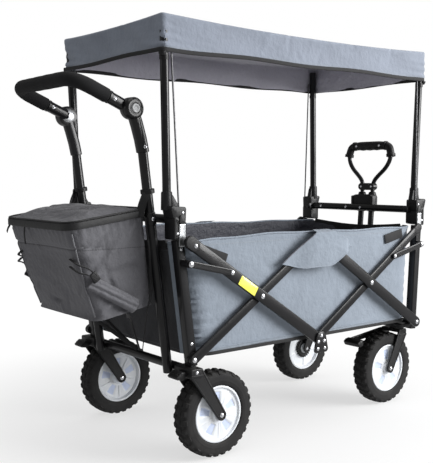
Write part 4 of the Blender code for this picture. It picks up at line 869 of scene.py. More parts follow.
def tub_side(side, across=150, tall=44):
    """One side panel: for each height, the plan line that tucks in behind both posts, eased by a moving mean, then pushed
    in or out by gathers near the posts, creases, and a slow swell. Returns points, cut map."""
    t = np.linspace(0, 1, tall)[:, None]
    rows = []
    for share in t[:, 0]:
        z = TUB_Z + share * (RIM_Z - TUB_Z)
        line = np.concatenate([[(tub_end_x(z, 0) + s, TUB_W + w) for s, w in NOTCH],
                               [(tub_end_x(z, 1) - s, TUB_W + w) for s, w in NOTCH[::-1]]])
        walk = np.r_[0, np.cumsum(np.hypot(*np.diff(line, axis=0).T))]
        even = np.linspace(0, walk[-1], across)
        rows.append(np.stack([np.interp(even, walk, line[:, k]) for k in (0, 1)], -1))
    plan = np.stack(rows)
    for _ in range(2):
        plan[:, 1:-1] = (plan[:, :-2] + 2 * plan[:, 1:-1] + plan[:, 2:]) / 4
    x = plan[..., 0]
    crown = 0.0050 * np.exp(-(((x + 0.10) / 0.16) ** 2)) - 0.0070 * soft_step(-x, 0.30, 0.41) + 0.0012 * np.sin(31 * x)
    sag = 0.0045 * np.sin(np.pi * np.clip((x + 0.34) / 0.34, 0, 1)) + 0.003 * np.sin(np.pi * np.clip(x / 0.36, 0, 1))
    z = TUB_Z + sag * (1 - t) ** 3 + t * (RIM_Z - TUB_Z + crown)
    normal = unit(np.stack([-np.gradient(plan[..., 1], axis=1), np.gradient(plan[..., 0], axis=1)], -1))
    gap = np.minimum(x - tub_end_x(z, 0), tub_end_x(z, 1) - x)
    by_rear = np.exp(-np.clip(x - tub_end_x(z, 0) - 0.016, 0, 1) / 0.020)
    by_front = np.exp(-np.clip(tub_end_x(z, 1) - x - 0.016, 0, 1) / 0.012)
    push = 0.0034 * by_rear * np.sin(2 * np.pi * (z / 0.0185 + 0.25 * np.sin(z * 70)))
    push += 0.0016 * by_front * np.sin(2 * np.pi * (z / 0.026 + 0.2 * np.sin(z * 55)))
    fans = [(-0.385, 0.470, -0.23, 0.440, 0.0014, 0.0060), (-0.38, 0.400, -0.24, 0.385, -0.0016, 0.0055),
            (-0.385, 0.345, -0.27, 0.352, 0.0013, 0.005),
            (-0.38, 0.300, -0.25, 0.322, -0.0014, 0.0060), (-0.375, 0.262, -0.22, 0.292, 0.0013, 0.007),
            (-0.30, 0.246, -0.10, 0.266, -0.0016, 0.007),
            (-0.06, 0.246, 0.02, 0.300, 0.0012, 0.006), (0.05, 0.246, 0.20, 0.262, -0.0016, 0.0060),
            (0.36, 0.258, 0.22, 0.300, 0.0013, 0.007),
            (0.38, 0.440, 0.26, 0.425, -0.0012, 0.006), (0.375, 0.350, 0.29, 0.355, 0.0012, 0.005),
            (-0.02, 0.40, -0.05, 0.29, 0.0011, 0.014),
            (0.10, 0.40, 0.06, 0.30, -0.0011, 0.012), (-0.24, 0.475, -0.05, 0.488, -0.0012, 0.005),
            (0.06, 0.482, 0.26, 0.478, 0.0011, 0.005)]
    push += creased(x, z, fans) + creased(x, z, loose_creases(11 if side > 0 else 7, 26, (-0.36, 0.36), (0.25, 0.48),
                                                              (0.05, 0.14), (0.0005, 0.0014), (0.004, 0.010), 0.5, 0.9))
    push += 0.0013 * np.sin(np.pi * t) * np.sin(9 * x + 1.3) - 0.0010
    push = np.clip(push, -0.008, 0.0026) * soft_step(gap, -0.001, 0.010) * (1 - 0.6 * soft_step(t, 0.93, 1.0))
    plan = plan + normal * push[..., None]
    points = np.stack([plan[..., 0], side * plan[..., 1], z], -1)
    return points, np.stack([x, z - TUB_Z], -1)


def tub_end(front, left_edge, right_edge, across=90):
    """An end panel between the side panels' edge columns: a straight blend of the two, with creases that pull to its corners."""
    s = np.linspace(0, 1, across)[None, :, None]
    flat = left_edge[:, None] * (1 - s) + right_edge[:, None] * s
    y, z = flat[..., 1], flat[..., 2]
    t = (z - TUB_Z) / (RIM_Z - TUB_Z)
    push = creased(y, z, loose_creases(31 + front, 22, (-0.17, 0.17), (0.25, 0.48), (0.05, 0.16), (0.0008, 0.0024),
                                       (0.006, 0.014), 1.2, 0.7))
    push += 0.0028 * np.sin(np.pi * np.clip(t, 0, 1)) * np.sin(24 * y + 0.6)
    edge = soft_step(0.1705 - np.abs(y), 0.0, 0.03)
    flat = flat + np.array([1.0 if front else -1.0, 0, 0]) * (np.clip(push, -0.006,
                                                                      0.0015 if front else 0.0030) * edge)[..., None]
    flat[..., 2] -= 0.010 * np.sin(np.pi * s[..., 0]) * soft_step(t, 0.6, 1.0) * (1 if front else 0.6)
    return flat, np.stack([y, z - TUB_Z], -1)


panels = {side: tub_side(side) for _, side in SIDES}
left, right = panels[1][0], panels[-1][0]
ends = {front: tub_end(front, left[:, -1 if front else 0], right[:, -1 if front else 0]) for front in (0, 1)}
base = np.linspace(0, 1, 60)[:, None, None]
floor_sheet = left[0][None] * (1 - base) + right[0][None] * base
floor_sheet[..., 2] = np.minimum(floor_sheet[..., 2], TUB_Z + 0.0003 + 0.004 * np.abs(2 * base[..., 0] - 1) ** 8)
tub = build("tub_cloth", [(panels[1][0], 0, panels[1][1]), (panels[-1][0], 0, panels[-1][1]),
                          (ends[0][0], 1, ends[0][1]), (ends[1][0], 1, ends[1][1]),
                          (floor_sheet, 1, floor_sheet[..., :2])], [SLATE, TUB_PAINTED_SHADE_CLOTH, LINING_PAINTED_SHADE, LINING_PAINTED_SHADE], "rear_end",
                          ["tub_fabric"], closed=True)
wall = tub.modifiers.new("cloth_thickness", "SOLIDIFY")
wall.thickness, wall.offset, wall.material_offset = 0.0014, -1.0, 2
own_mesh(tub)


def edging(name, path, outline, finish, body="rear_end", flat=(0, 0, 1), loop=False, fold=0.50):
    """A narrow tape or piping carried along an edge, with a cut map of distance along and across."""
    grid = carried(path, outline, flat, 0.0005, loop)
    walk = np.r_[0, np.cumsum(np.linalg.norm(np.diff(grid.mean(1), axis=0), axis=1))]
    cut = np.stack(np.broadcast_arrays(walk[:, None], np.linspace(0, 0.02, grid.shape[1])[None]), -1)
    piece = build(name, [(grid, 0, cut)], [finish], body)
    if fold:
        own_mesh(piece)
    return piece


for tag, side in SIDES:
    points = panels[side][0]
    top = points[-1] + (0, 0, 0.0006)
    edging(f"tub_rim_roll_{tag}", top[::2], outline_box(0.0046, 0.0042, 0.0019, 4), SLATE)
    foot = points[0, 8:-8:2] * (1, 1, 0) + (0, side * 0.0006, 0.2392)
    edging(f"tub_foot_binding_{tag}", foot, outline_box(0.0085, 0.0030, 0.0013, 4), WEBBING)
    pale = points[1, 8:-8:2] + (0, side * 0.0010, 0.0035)
    edging(f"tub_foot_piping_{tag}", pale, outline_ring(0.0014, 8), SLATE)
for front in (0, 1):
    top = ends[front][0][-1] + (0, 0, -0.004)
    edging(f"tub_end_tape_{'front' if front else 'rear'}", top[::2], outline_box(0.020, 0.0036, 0.0016,
        4), WEBBING)

# The pocket flap over the upper middle joint: sewn along its top and faired into the side at its front; its rear
# edge and scalloped foot hang open, so that the bars run out from under it.
for tag, side in SIDES:
    a, b = np.linspace(0, 1, 90)[None, :], np.linspace(0, 1, 56)[:, None]
    x = (1 - b) * (-0.012 + 0.050 * a) + b * (-0.126 + 0.266 * a)
    foot_z = 0.4300 - 0.0150 * np.sin(np.pi * np.clip(a * 1.25, 0, 1)) ** 0.8 + 0.026 * soft_step(a, 0.62,
        0.95) + 0.0012 * np.sin(19 * a)
    z = (1 - b) * 0.5062 + b * foot_z
    stand = 0.0165 + 0.0107 * soft_step(x, -0.095, -0.008) - 0.0315 * soft_step(x, 0.084, 0.136)
    top = soft_step(b * 0.0800, -0.0020, 0.0062)
    y = 0.2236 + stand * top
    y = y + creased(x, z, [(-0.10, 0.435, 0.00, 0.470, 0.0008, 0.004), (-0.04, 0.42, 0.03, 0.46, -0.0008, 0.005),
                           (0.10, 0.440, 0.02, 0.478, 0.0006, 0.006)]) * soft_step(b, 0.2, 0.5)
    y = np.clip(y + 0.0009 * np.sin(24 * a + 1) * b**3, 0.2232, 0.2535)
    flap = build(f"tub_joint_flap_{tag}",
                 [(np.stack([x, side * y + 0 * x, z + 0 * x], -1), 0, np.stack([x, z - 0.41 + 0 * x], -1))],
                 [SLATE, LINING_PAINTED_SHADE],
                 "rear_end", closed=False)
    skin = flap.modifiers.new("cloth_thickness", "SOLIDIFY")
    skin.thickness, skin.offset = 0.0009, 0.0
    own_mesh(flap)
    # The rear edge's hem is in the dark lining: a painted shadow line along the flap's open rear edge. The foot's hem
    # is in the slate.
    for edge, line in (("foot", np.stack([x[-1], side * (y[-1] + 0 * x[-1]) + side * 0.0003, z[-1]], -1)[:-12:2]),
                       ("rear", np.stack([x[6:, 0], side * y[6:, 0], z[6:, 0]], -1)[::2])):
        edging(f"flap_{edge}_hem_{tag}", line, outline_box(0.0030, 0.0022, 0.001, 3),
                           SLATE if edge == "foot" else LINING_PAINTED_SHADE)
    for name, (x0, z0), (x1, z1), wide in (("rear", (-0.352, 0.4745), (-0.284, 0.4500), 0.026),
                                           ("front", (0.266, 0.4680), (0.336, 0.4820), 0.025)):
        run = np.linspace(0, 1, 12)[:, None]
        line = np.array([x0, 0, z0]) * (1 - run) + np.array([x1, 0, z1]) * run + (0, side * 0.2248, 0)
        line[:, 1] += side * 0.0006 * np.sin(7 * run[:, 0])
        edging(f"{name}_strap_{tag}", line, outline_box(0.0018, wide, 0.0008, 3), WEBBING, flat=(0, 1, 0))

# ---- Floor mat
# A thin padded mat in four panels, sewn through between them, in dark cloth. The real mat folds with the frame, but
# here it is one piece fixed to the rear end.

MAT_CLOTH = cloth_finish("dark_mat_cloth", (0.060, 0.062, 0.075), 0.0013, 0.8, 0.7)
x = np.linspace(-0.354, 0.372, 200)[:, None]
y = np.linspace(-0.207, 0.207, 110)[None, :]
panel = np.abs(((x + 0.354) / 0.726 * 4) % 1 - 0.5) * 2
rim = np.minimum(np.minimum(x + 0.354, 0.372 - x), 0.207 - np.abs(y))
swell = (1 - panel**6) * soft_step(rim, 0, 0.02)
swell = swell + 0.08 * creased(x, y, loose_creases(5, 40, (-0.34, 0.36), (-0.2, 0.2), (0.03, 0.1), (0.4, 1.2),
                                                   (0.005, 0.01)))
top = 0.2443 + 0.0058 * np.clip(swell, -0.1, 1.2)
grids = [np.stack(np.broadcast_arrays(x, y, z), -1) for z in (top, np.full_like(top, 0.2424))]
wallx = [np.stack([grids[0][k], grids[1][k]]) for k in (0, -1)]
wally = [np.stack([grids[0][:, k], grids[1][:, k]]) for k in (0, -1)]
cuts = grids[0][..., :2]
mat = build("floor_mat_pad", [(grids[0], 0, cuts), (grids[1], 0, cuts), *wallx, *wally], [MAT_CLOTH], "rear_end",
            ["floor_mat"])
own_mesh(mat)

# ---- Canopy posts, stays and canopy
# Four round black posts bent upright at the top, with thin bright stay rods beside them, carry one slate sheet
# whose deep valance is bound in black; the roof sags between its corners and creases run out from them.

PALE_ROD = hard_finish("grey_stay_rod", (0.13, 0.13, 0.135), 0.35, 0.6, (0.2, 0.2, 0.2), 0.4, 0.02, 0.001, 0.1)
for end, way, foot_x, top_x in (("rear", -1, -0.4300, -0.4410), ("front", 1, 0.4190, 0.4222)):
    for tag, side in SIDES:
        y0, y1 = side * 0.1990, side * 0.2074
        path = rounded([(foot_x, y0, 0.5764), (foot_x, y0, 0.615), (top_x, y1, 0.9115), (top_x, y1, 0.966)], 0.02)
        build(f"{end}_canopy_pole_{tag}", [carried(path, outline_ring(0.0094, 28), (0, 1, 0))], [BLACK_STEEL],
              f"{end}_end", [f"canopy_post_{end}_{tag}"])
        rod = [(foot_x - way * 0.0180, side * 0.2185, 0.5620), (foot_x - way * 0.0180, side * 0.2185, 0.5700),
               (top_x - way * 0.0145, side * 0.2120, 0.930)]
        build(f"{end}_stay_rod_{tag}", [carried(rod, outline_ring(0.0020, 12), (0, 1, 0), 0.0004)], [PALE_ROD],
              f"{end}_end")
        knob = turned([(0, -0.0100), (0.0060, -0.0085), (0.0085, -0.0040), (0.0088, 0.0), (0, 0.0)],
                      (top_x + way * 0.0075, side * 0.2130, 0.9015), (0, 0, 1), 18)
        build(f"{end}_canopy_corner_{tag}", [knob], [BLACK_PLASTIC], f"{end}_end")
        collar = turned([(0.0084, 0), (0.0104, 0.0006), (0.0104, 0.0110), (0.0084, 0.0116)], (top_x, y1, 0.8850),
                        (0, 0, 1), 22)
        build(f"{end}_pole_collar_{tag}", [collar], [BLACK_PLASTIC], f"{end}_end")

ROOF_CLOTH = cloth_finish("slate_canopy_cloth", (0.245, 0.275, 0.335), crumple=0.9, seams=(0.0100,))
ROOF_LINING = cloth_finish("grey_canopy_lining", (0.52, 0.51, 0.58), 0.0016, 0.7, 1.6)
CX, CW, C_LOW, C_TOP = (-0.455, 0.436), 0.2195, 0.9015, 0.983


def canopy_ring(inset, n=520):
    """A rounded oblong, drawn in by inset, with an even walk round it. Returns plan points and how far round each one is."""
    r = max(0.010 - inset * 0.5, 0.004)
    x0, x1, w = CX[0] + inset, CX[1] - inset, CW - inset
    turn = np.linspace(0, np.pi / 2, 9)
    line = np.concatenate([np.stack([cx + r * np.cos(turn + k * np.pi / 2), cy + r * np.sin(turn + k * np.pi / 2)], -1)
                           for k, (cx, cy) in enumerate([(x1 - r, w - r), (x0 + r, w - r), (x0 + r, r - w),
                                                         (x1 - r, r - w)])])
    line = np.concatenate([line, line[:1]])
    walk = np.r_[0, np.cumsum(np.hypot(*np.diff(line, axis=0).T))]
    even = np.linspace(0, walk[-1], n + 1)
    return np.stack([np.interp(even, walk, line[:, k]) for k in (0, 1)], -1), even


def canopy_skin():
    """Rows run from the hem up the valance, over a soft shoulder, and in over the roof as the outline shrinks to the
    middle line. Height and push come from sag, tension creases out of the corners, and seeded small creases."""
    outer, walk = canopy_ring(0.0)
    core = np.stack([np.clip(outer[:, 0], CX[0] + CW, CX[1] - CW), np.zeros(len(outer))], -1)
    out = unit(np.stack([np.gradient(outer[:, 1]), -np.gradient(outer[:, 0])], -1))
    out = out * np.sign(np.sum(out * (outer - core), -1))[:, None]
    u = (outer[:, 0] - CX[0]) / (CX[1] - CX[0]) * 2 - 1
    v = outer[:, 1] / CW
    edge_sag = 0.0100 * (1 - np.abs(u) ** 2.2) * (np.abs(v) > 0.97) + 0.0045 * (1 - np.abs(v) ** 2.2) * (np.abs(u) > 0.985)
    shoulder = C_TOP - 0.0050 - edge_sag
    corner = np.exp(-(np.minimum.reduce([np.hypot(outer[:, 0] - cx, outer[:, 1] - cy) for cx in CX for cy in (-CW,
        CW)]) / 0.05))
    rise = np.linspace(0, 1, 20)[:, None]
    z = C_LOW + 0.0020 * np.sin(walk * 17) * (1 - corner) + (shoulder - C_LOW) * rise
    folds = loose_creases(21, 44, (0, walk[-1]), (0.0, 0.06), (0.03, 0.09), (0.0006, 0.0022), (0.004, 0.010), 1.1, 0.6)
    push = creased(walk[None, :], z - C_LOW, folds) + 0.0016 * np.sin(walk * 26 + 2 * rise) * (rise * (1 - rise) * 4)
    push += 0.0032 * (corner * np.sin(rise * 26 + walk * 30)) * (1 - rise)
    push -= 0.0022 * (np.abs(u) > 0.985) * (1 + np.sin(walk * 62 + 5 * rise)) * np.sin(np.pi * rise)
    push = np.clip(push - 0.0034 * np.sin(np.pi * rise) * (1 - corner), -0.0075, 0.0014)
    valance = np.concatenate([outer[None] + out[None] * push[..., None], z[..., None]], -1)
    turn = np.linspace(0, np.pi / 2, 6)[1:, None]
    over = np.concatenate([outer[None] - out[None] * (0.006 * (1 - np.cos(turn)))[..., None] + (out * push[-1][:,
        None])[None],
                           (shoulder + 0.0050 * np.sin(turn))[..., None]], -1)
    share = np.linspace(0, 1, 40)[1:, None, None]
    start = outer - out * 0.006 + out * push[-1][:, None]
    plan = start[None] * (1 - share) + core[None] * share
    x, y = plan[..., 0], plan[..., 1]
    ux, uy = (x - CX[0]) / (CX[1] - CX[0]) * 2 - 1, y / CW
    sag = 0.026 * (1 - np.abs(ux) ** 2.4) * (1 - np.abs(uy) ** 2.0)
    fans = []
    for cx, sx in ((CX[0], 1), (CX[1], -1)):
        for sy in (-1, 1):
            for k, turned_to in enumerate((0.18, 0.42, 0.75, 1.10)):
                reach = (0.30, 0.24, 0.20, 0.17)[k]
                fans.append((cx + sx * 0.012, sy * (CW - 0.012), cx + sx * reach * np.cos(turned_to),
                             sy * (CW - reach * np.sin(turned_to)),
                             0.0030 * (-1) ** k, 0.007 + 0.003 * k))
    fans.append((-0.02, -CW, 0.0, CW, 0.0035, 0.010))
    dents = creased(x, y, fans) + creased(x, y, loose_creases(8, 60, (-0.42, 0.40), (-0.2, 0.2), (0.05, 0.16),
                                                              (0.0006, 0.0022), (0.005, 0.014)))
    blend_in = soft_step(share[..., 0], 0.0, 0.10)
    height = (shoulder + 0.0050)[None] * (1 - soft_step(share[..., 0], 0, 0.5)) + C_TOP * soft_step(share[..., 0], 0,
        0.5) - sag + dents * blend_in
    roof = np.concatenate([plan, np.minimum(height, C_TOP - 0.0002)[..., None]], -1)
    grid = np.concatenate([valance, over, roof])
    cut = np.concatenate([np.stack(np.broadcast_arrays(walk[None], z - C_LOW), -1),
                          np.stack(np.broadcast_arrays(walk[None], 0.09 + 0.01 * turn), -1), roof[..., :2] + 3.0])
    return grid, cut


grid, cut = canopy_skin()
canopy = build("canopy_sheet", [(grid, 0, cut)], [ROOF_CLOTH, ROOF_LINING], "rear_end",
               ["canopy_fabric"])
skin = canopy.modifiers.new("cloth_thickness", "SOLIDIFY")
skin.thickness, skin.offset, skin.material_offset = 0.0012, -1.0, 1
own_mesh(canopy)
hem_line = grid[0, :-1] + (0, 0, 0.0042)
tape = carried(hem_line, outline_box(0.0094, 0.0036, 0.0016, 4), (0, 0, 1), loop=True)
walk = np.r_[0, np.cumsum(np.linalg.norm(np.diff(hem_line, axis=0), axis=1)), 2.64]
tape_cut = np.stack(np.broadcast_arrays(walk[:, None], np.linspace(0, 0.02, tape.shape[1])[None]), -1)
hem = build("canopy_hem_tape", [(tape, 0, tape_cut)], [WEBBING], "rear_end")
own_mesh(hem)

# ---- Push handle
# Two round black legs in sleeves on the rear crossbars carry locking hubs with silver faces; a bent black tube
# swings on them and wears a tube of closed-cell foam.

FOAM = hard_finish("black_grip_foam", (0.010, 0.010, 0.011), 0.85, 0.0, (0.022, 0.022, 0.022), 0.3, 0.03, 0.0007,
                   0.9, 0.0, 0.3)
GREY_BUTTON = hard_finish("grey_button_plastic", (0.46, 0.47, 0.48), 0.4, 0.0, (0.3, 0.3, 0.3), 0.3, 0.05, 0.001, 0.2)
HUB = np.array([-0.486, 0, 0.784])
LEG_FOOT, LEG_BEND = (-0.394, 0.193), (-0.4600, 0.7000)
for tag, side in SIDES:
    y = side * 0.150
    path = rounded([(LEG_FOOT[0], y, LEG_FOOT[1]), (LEG_BEND[0], y, LEG_BEND[1]), (-0.4800, y, 0.7700)], 0.012)
    skins = [carried(path, outline_ring(0.0110, 28), (0, 1, 0))]

    def up_leg(z):
        """The point at height z on the straight line from the leg's foot to its bend."""
        return (LEG_FOOT[0] + (LEG_BEND[0] - LEG_FOOT[0]) * (z - LEG_FOOT[1]) / (LEG_BEND[1] - LEG_FOOT[1]), y, z)

    # The hub's moulded shank: a flattened sleeve riveted to the leg. The widths listed as each point's fourth number
    # are not read, so it keeps one size up to the hub.
    shank = [np.append(np.array(up_leg(0.690)), 1.0), np.append(np.array(up_leg(0.694)), 1.04),
             (-0.4650, y, 0.7200, 1.03), (-0.4740, y, 0.7500, 1.05), (-0.4835, y, 0.7780, 1.10)]
    shank = np.array(shank)
    sleeve = outline_box(0.0262, 0.0262, 0.0100, 6)
    grid = carried(shank[:, :3], sleeve, (0, 1, 0), 0.0012)
    skins += [grid, carried([up_leg(0.5300), up_leg(0.5580)], outline_ring(0.0124, 28), (0, 1, 0), 0.0012)]
    cup = [(0, 0.1515), (0.0222, 0.1515), (0.0238, 0.1530), (0.0238, 0.1600), (0.0205, 0.1650), (0.0192, 0.1660),
           (0.0176, 0.1660), (0.0168, 0.1650),
           (0.0140, 0.1650), (0.0134, 0.1660), (0.0122, 0.1660), (0.0122, 0.1545), (0, 0.1545)]
    skins.append(turned(cup, HUB, (0, side, 0), 48))
    build(f"push_leg_tube_{tag}", skins, [BLACK_STEEL], "rear_end", [f"push_leg_{tag}"])
    heads = [turned([(0, 0.0020), (0.0030, 0.0017), (0.0046, 0.0), (0.0046, -0.001), (0, -0.001)],
                    np.array(up_leg(z)) + (0, side * r, 0), (0, side, 0), 14)
             for z, r in ((0.7020, 0.0134), (0.5440, 0.0122))]
    build(f"push_leg_rivets_{tag}", heads, [BRIGHT], "rear_end")
    press = [(0, 0.1597), (0.0100, 0.1597), (0.0108, 0.1602), (0.0098, 0.1676), (0.0088, 0.1686), (0.0060, 0.1686),
             (0.0050, 0.1678), (0, 0.1676)]
    build(f"tilt_button_cap_{tag}", [turned(press, HUB, (0, side, 0), 32)], [GREY_BUTTON], f"button_{tag}",
          [f"tilt_button_{tag}"])
push_path = rounded([(-0.486, -0.1409, 0.784), (-0.621, -0.1409, 0.842), (-0.621, 0.1409, 0.842),
                     (-0.486, 0.1409, 0.784)], 0.050, 12)
skins, faces, heads = [carried(push_path, outline_ring(0.0095, 28), (-0.4, 0, 0.92))], [], []
for tag, side in SIDES:
    shell = [(0, 0.1372), (0.0180, 0.1372), (0.0236, 0.1384), (0.0240, 0.1396), (0.0240, 0.1500), (0.0230, 0.1509),
             (0, 0.1509)]
    skins.append(turned(shell, HUB, (0, side, 0), 48))
    faces.append(turned([(0, 0.1366), (0.0150, 0.1366), (0.0162, 0.1373), (0.0162, 0.1378), (0, 0.1378)], HUB,
                        (0, side, 0), 36))
    heads.append(turned([(0, 0.0022), (0.0030, 0.0018), (0.0046, 0), (0.0046, -0.001), (0, -0.001)],
                        HUB + (0, side * 0.1366, 0), (0, -side, 0), 16))
    # The arm's moulded shank, from the hub to the foam, with a shallow collar where the foam starts.
    near, far = spot((-0.486, 0.784), (-0.621, 0.842), 0.04), spot((-0.486, 0.784), (-0.621, 0.842), 0.405)
    edge = spot((-0.486, 0.784), (-0.621, 0.842), 0.36)
    skins.append(carried([(near[0], side * 0.1409, near[1]), (far[0], side * 0.1409, far[1])],
                         outline_box(0.0255, 0.0225, 0.0090, 6), (-0.4, 0, 0.92), 0.0014))
    skins.append(carried([(edge[0], side * 0.1409, edge[1]), (far[0], side * 0.1409, far[1])],
                         outline_box(0.0280, 0.0250, 0.0100, 6), (-0.4, 0, 0.92), 0.0014))
    at = np.array(spot((-0.486, 0.784), (-0.621, 0.842), 0.31))
    for turn_up in (1, -1):
        heads.append(turned([(0, 0.0022), (0.0030, 0.0018), (0.0048, 0), (0.0048, -0.001), (0, -0.001)],
                            (at[0], side * 0.1409 + turn_up * 0.0112, at[1]), (0, turn_up, 0.0), 16))
build("push_bar_tube", skins, [BLACK_STEEL], "push_handle", ["push_bar"])
build("push_hub_faces", faces, [GREY_CLIP], "push_handle")
build("push_bar_rivets", heads, [BRIGHT], "push_handle")
walk = np.r_[0, np.cumsum(np.linalg.norm(np.diff(push_path, axis=0), axis=1))]
start = 0.41 * np.hypot(0.135, 0.058)
even = np.linspace(start, walk[-1] - start, 120)
foam_path = np.stack([np.interp(even, walk, push_path[:, k]) for k in range(3)], -1)
foam = carried(foam_path, outline_ring(0.0157, 32), (-0.4, 0, 0.92), 0.0030)
centre = foam.mean(1, keepdims=True)
around = np.linspace(0, 2 * np.pi, foam.shape[1])[None, :, None]
along = np.linspace(0, 1, foam.shape[0])[:, None, None]
ripple = 0.012 * np.sin(61 * along + 0.6 * np.sin(around)) * np.sin(np.pi * along)
dimple = 0.008 * np.sin(2 * around + 17 * along) * np.sin(np.pi * along)
foam = centre + (foam - centre) * (1 + ripple + dimple)
push_foam = build("push_foam_sleeve", [foam], [FOAM], "push_handle", ["push_grip"])

# ---- Pull handle
# Twin black tubes pinned at the foot run up to a moulded clip on the front crossbar; a bent rod slides in them and
# opens out into a loop with a moulded grip.


def up_pull(y, z, off=0.0):
    """A place in the pull handle's leaning plane; off is how far in front of it."""
    return (0.4235 + (z - 0.2262) * 0.07567 + off, y, z)


skins = [carried([up_pull(s * 0.020, 0.2385), up_pull(s * 0.020, 0.5365)], outline_ring(0.0085, 28), (1, 0, 0),
                 0.0010) for s in (1, -1)]
yoke = belt((0.4235, 0.2262, 0.0092), (0.4235 - 0.0040, 0.2450, 0.0042), (0.4235 + 0.0062, 0.2450, 0.0042))
inner = np.stack([yoke[:, 0], yoke[:, 1]], -1)
skins.append(plate(inner, -0.0306, 0.0306, 0.0010))
for z in (0.300, 0.470):
    outline = outline_box(0.0565, 0.0160, 0.0040)
    skins.append(carried([up_pull(0, z, 0.0006), up_pull(0, z + 0.016, 0.0006)],
                         np.stack([outline[:, 1], outline[:, 0]], -1) * (1.10, 1.0), (1, 0, 0), 0.0010))
build("pull_twin_tubes", skins, [BLACK_STEEL], "pull_handle", ["pull_tubes"])
heads = [turned([(0, 0.0018), (0.0026, 0.0014), (0.0040, 0), (0.0040, -0.001), (0, -0.001)],
                up_pull(s * 0.020, z, 0.0090), (1, 0, -0.07), 14)
         for s in (1, -1) for z in (0.308, 0.478, 0.39)]
build("pull_tube_rivets", heads, [BRIGHT], "pull_handle")
shape = [(0.4248, 0.5386), (0.4505, 0.5386), (0.4590, 0.5450), (0.4600, 0.5765), (0.4560, 0.5826), (0.4270, 0.5826),
         (0.4248, 0.5790)]
centre = np.mean(shape, 0)
body = belt(*((centre[0] + (x - centre[0]) * 0.9, centre[1] + (z - centre[1]) * 0.9, 0.0019) for x, z in shape), n=96)
slope = np.linspace(-1, 1, 21)[:, None]
block = centre + (body[None] - centre) * (1 - 0.10 * np.abs(slope[..., None]) ** 6)
block = np.concatenate([np.broadcast_to(centre, (1, *body.shape)), block, np.broadcast_to(centre, (1, *body.shape))])
ys = np.r_[-0.0330, np.linspace(-0.0330, 0.0330, 21), 0.0330]
skins = [np.insert(block, 1, np.broadcast_to(ys[:, None], block.shape[:2]), axis=2)]
for s in (1, -1):
    skins.append(turned([(0.0066, -0.050), (0.0115, -0.050), (0.0122, -0.049), (0.0122, 0.0010), (0.0105, 0.0075),
                         (0.0096, 0.0085), (0.0066, 0.0085), (0.0066, -0.050)],
                        up_pull(s * 0.020, 0.5810), (0.07567, 0, 1), 28))
    # A short hook behind each side of the block that snaps over the crossbar.
    skins.append(plate(belt((0.4268, 0.5440, 0.0020), (0.4400, 0.5440, 0.0040), (0.4268, 0.5760, 0.0020),
                            (0.4400, 0.5760, 0.0040)), s * 0.0320, s * 0.0425, 0.0016))
build("pull_clip_moulding", skins, [BLACK_PLASTIC], "pull_handle", ["pull_housing"])
half = [(0.020, 0.276), (0.020, 0.610), (0.0245, 0.6250), (0.0420, 0.6420), (0.0640, 0.6600), (0.0785, 0.6820),
        (0.0815, 0.7020), (0.0740, 0.7270), (0.0520, 0.7290)]
loop = rounded([up_pull(-y, z) for y, z in half] + [up_pull(y, z) for y, z in half[::-1]], 0.020, 8)
skins = [carried(loop, outline_ring(0.0062, 20), (1, 0, 0), 0.0006)]
bridge = belt((-0.020, 0.6060, 0.0105), (0.020, 0.6060, 0.0105))
flat = [np.stack([np.full(len(ring), x), ring[:, 0], ring[:, 1]], -1) for ring,
        x in ((bridge * 0 + (0, 0.606), -0.0085), (bridge, -0.0085), (bridge, 0.0085), (bridge * 0 + (0, 0.606),
            0.0085))]
skins.append(np.stack(flat) + (0.4235 + (0.606 - 0.2262) * 0.07567, 0, 0))
build("pull_loop_rod", skins, [BLACK_STEEL], "pull_slider", ["pull_loop"])
arc = rounded([up_pull(-y, z) for y, z in half[-3:]] + [up_pull(y, z) for y, z in half[-3:][::-1]], 0.026, 12)
walk = np.r_[0, np.cumsum(np.linalg.norm(np.diff(arc, axis=0), axis=1))]
even = np.linspace(0, walk[-1], 140)
arc = np.stack([np.interp(even, walk, arc[:, k]) for k in range(3)], -1)
cover = carried(arc, outline_ring(0.0112, 32), (1, 0, 0), 0.0022)
mid_line = cover.mean(1, keepdims=True)
flatness = np.exp(-((mid_line[..., :1] * 0 + mid_line[..., 1:2]) / 0.052) ** 6)
turn = np.linspace(0, 2 * np.pi, 33)[None, :, None]
ribs = 0.05 * np.cos(mid_line[..., 1:2] * 2 * np.pi / 0.027) * flatness * np.clip(-(cover[..., 2:3] - mid_line[...,
    2:3]) / 0.011, 0, 1)
cover = mid_line + (cover - mid_line) * (1 + 0.20 * flatness + ribs)
grips = [cover]
for s in (1, -1):
    for y, z, lean in ((0.0815, 0.7000, 0.15), (0.0600, 0.7285, 3.0)):
        grips.append(turned([(0.0060, -0.0045), (0.0128, -0.0045), (0.0136, -0.0035), (0.0136, 0.0035),
                             (0.0128, 0.0045), (0.0060, 0.0045), (0.0060, -0.0045)],
                            up_pull(s * y, z), (0.07567, -s * lean, 1) if lean < 1 else (0, 1, 0), 26))
build("pull_grip_moulding", grips, [BLACK_PLASTIC], "pull_slider", ["pull_grip"])
mid = np.array(up_pull(0, 0.728))
heads = [turned([(0, 0.0020), (0.0026, 0.0016), (0.0040, 0), (0.0040, -0.0015), (0, -0.0015)],
                mid + (sx * 0.0132, s * 0.0445, 0.0005), (sx, 0, 0), 14)
         for s in (1, -1) for sx in (1, -1)]
heads += [turned([(0, 0.0020), (0.0026, 0.0016), (0.0040, 0), (0.0040, -0.0015), (0, -0.0015)],
                 up_pull(s * 0.020, 0.6060, sx * 0.0085), (sx, 0, 0), 14)
          for s in (1, -1) for sx in (1, -1)]
build("pull_grip_rivets", heads, [BRIGHT], "pull_slider")

# ---- Storage bag
# A soft slate polyester bag that hangs from the push legs, sagging and wrinkled, with a zipped lid, a black zip
# band, piped corners, a folded side flap, and webbing straps and buckles.

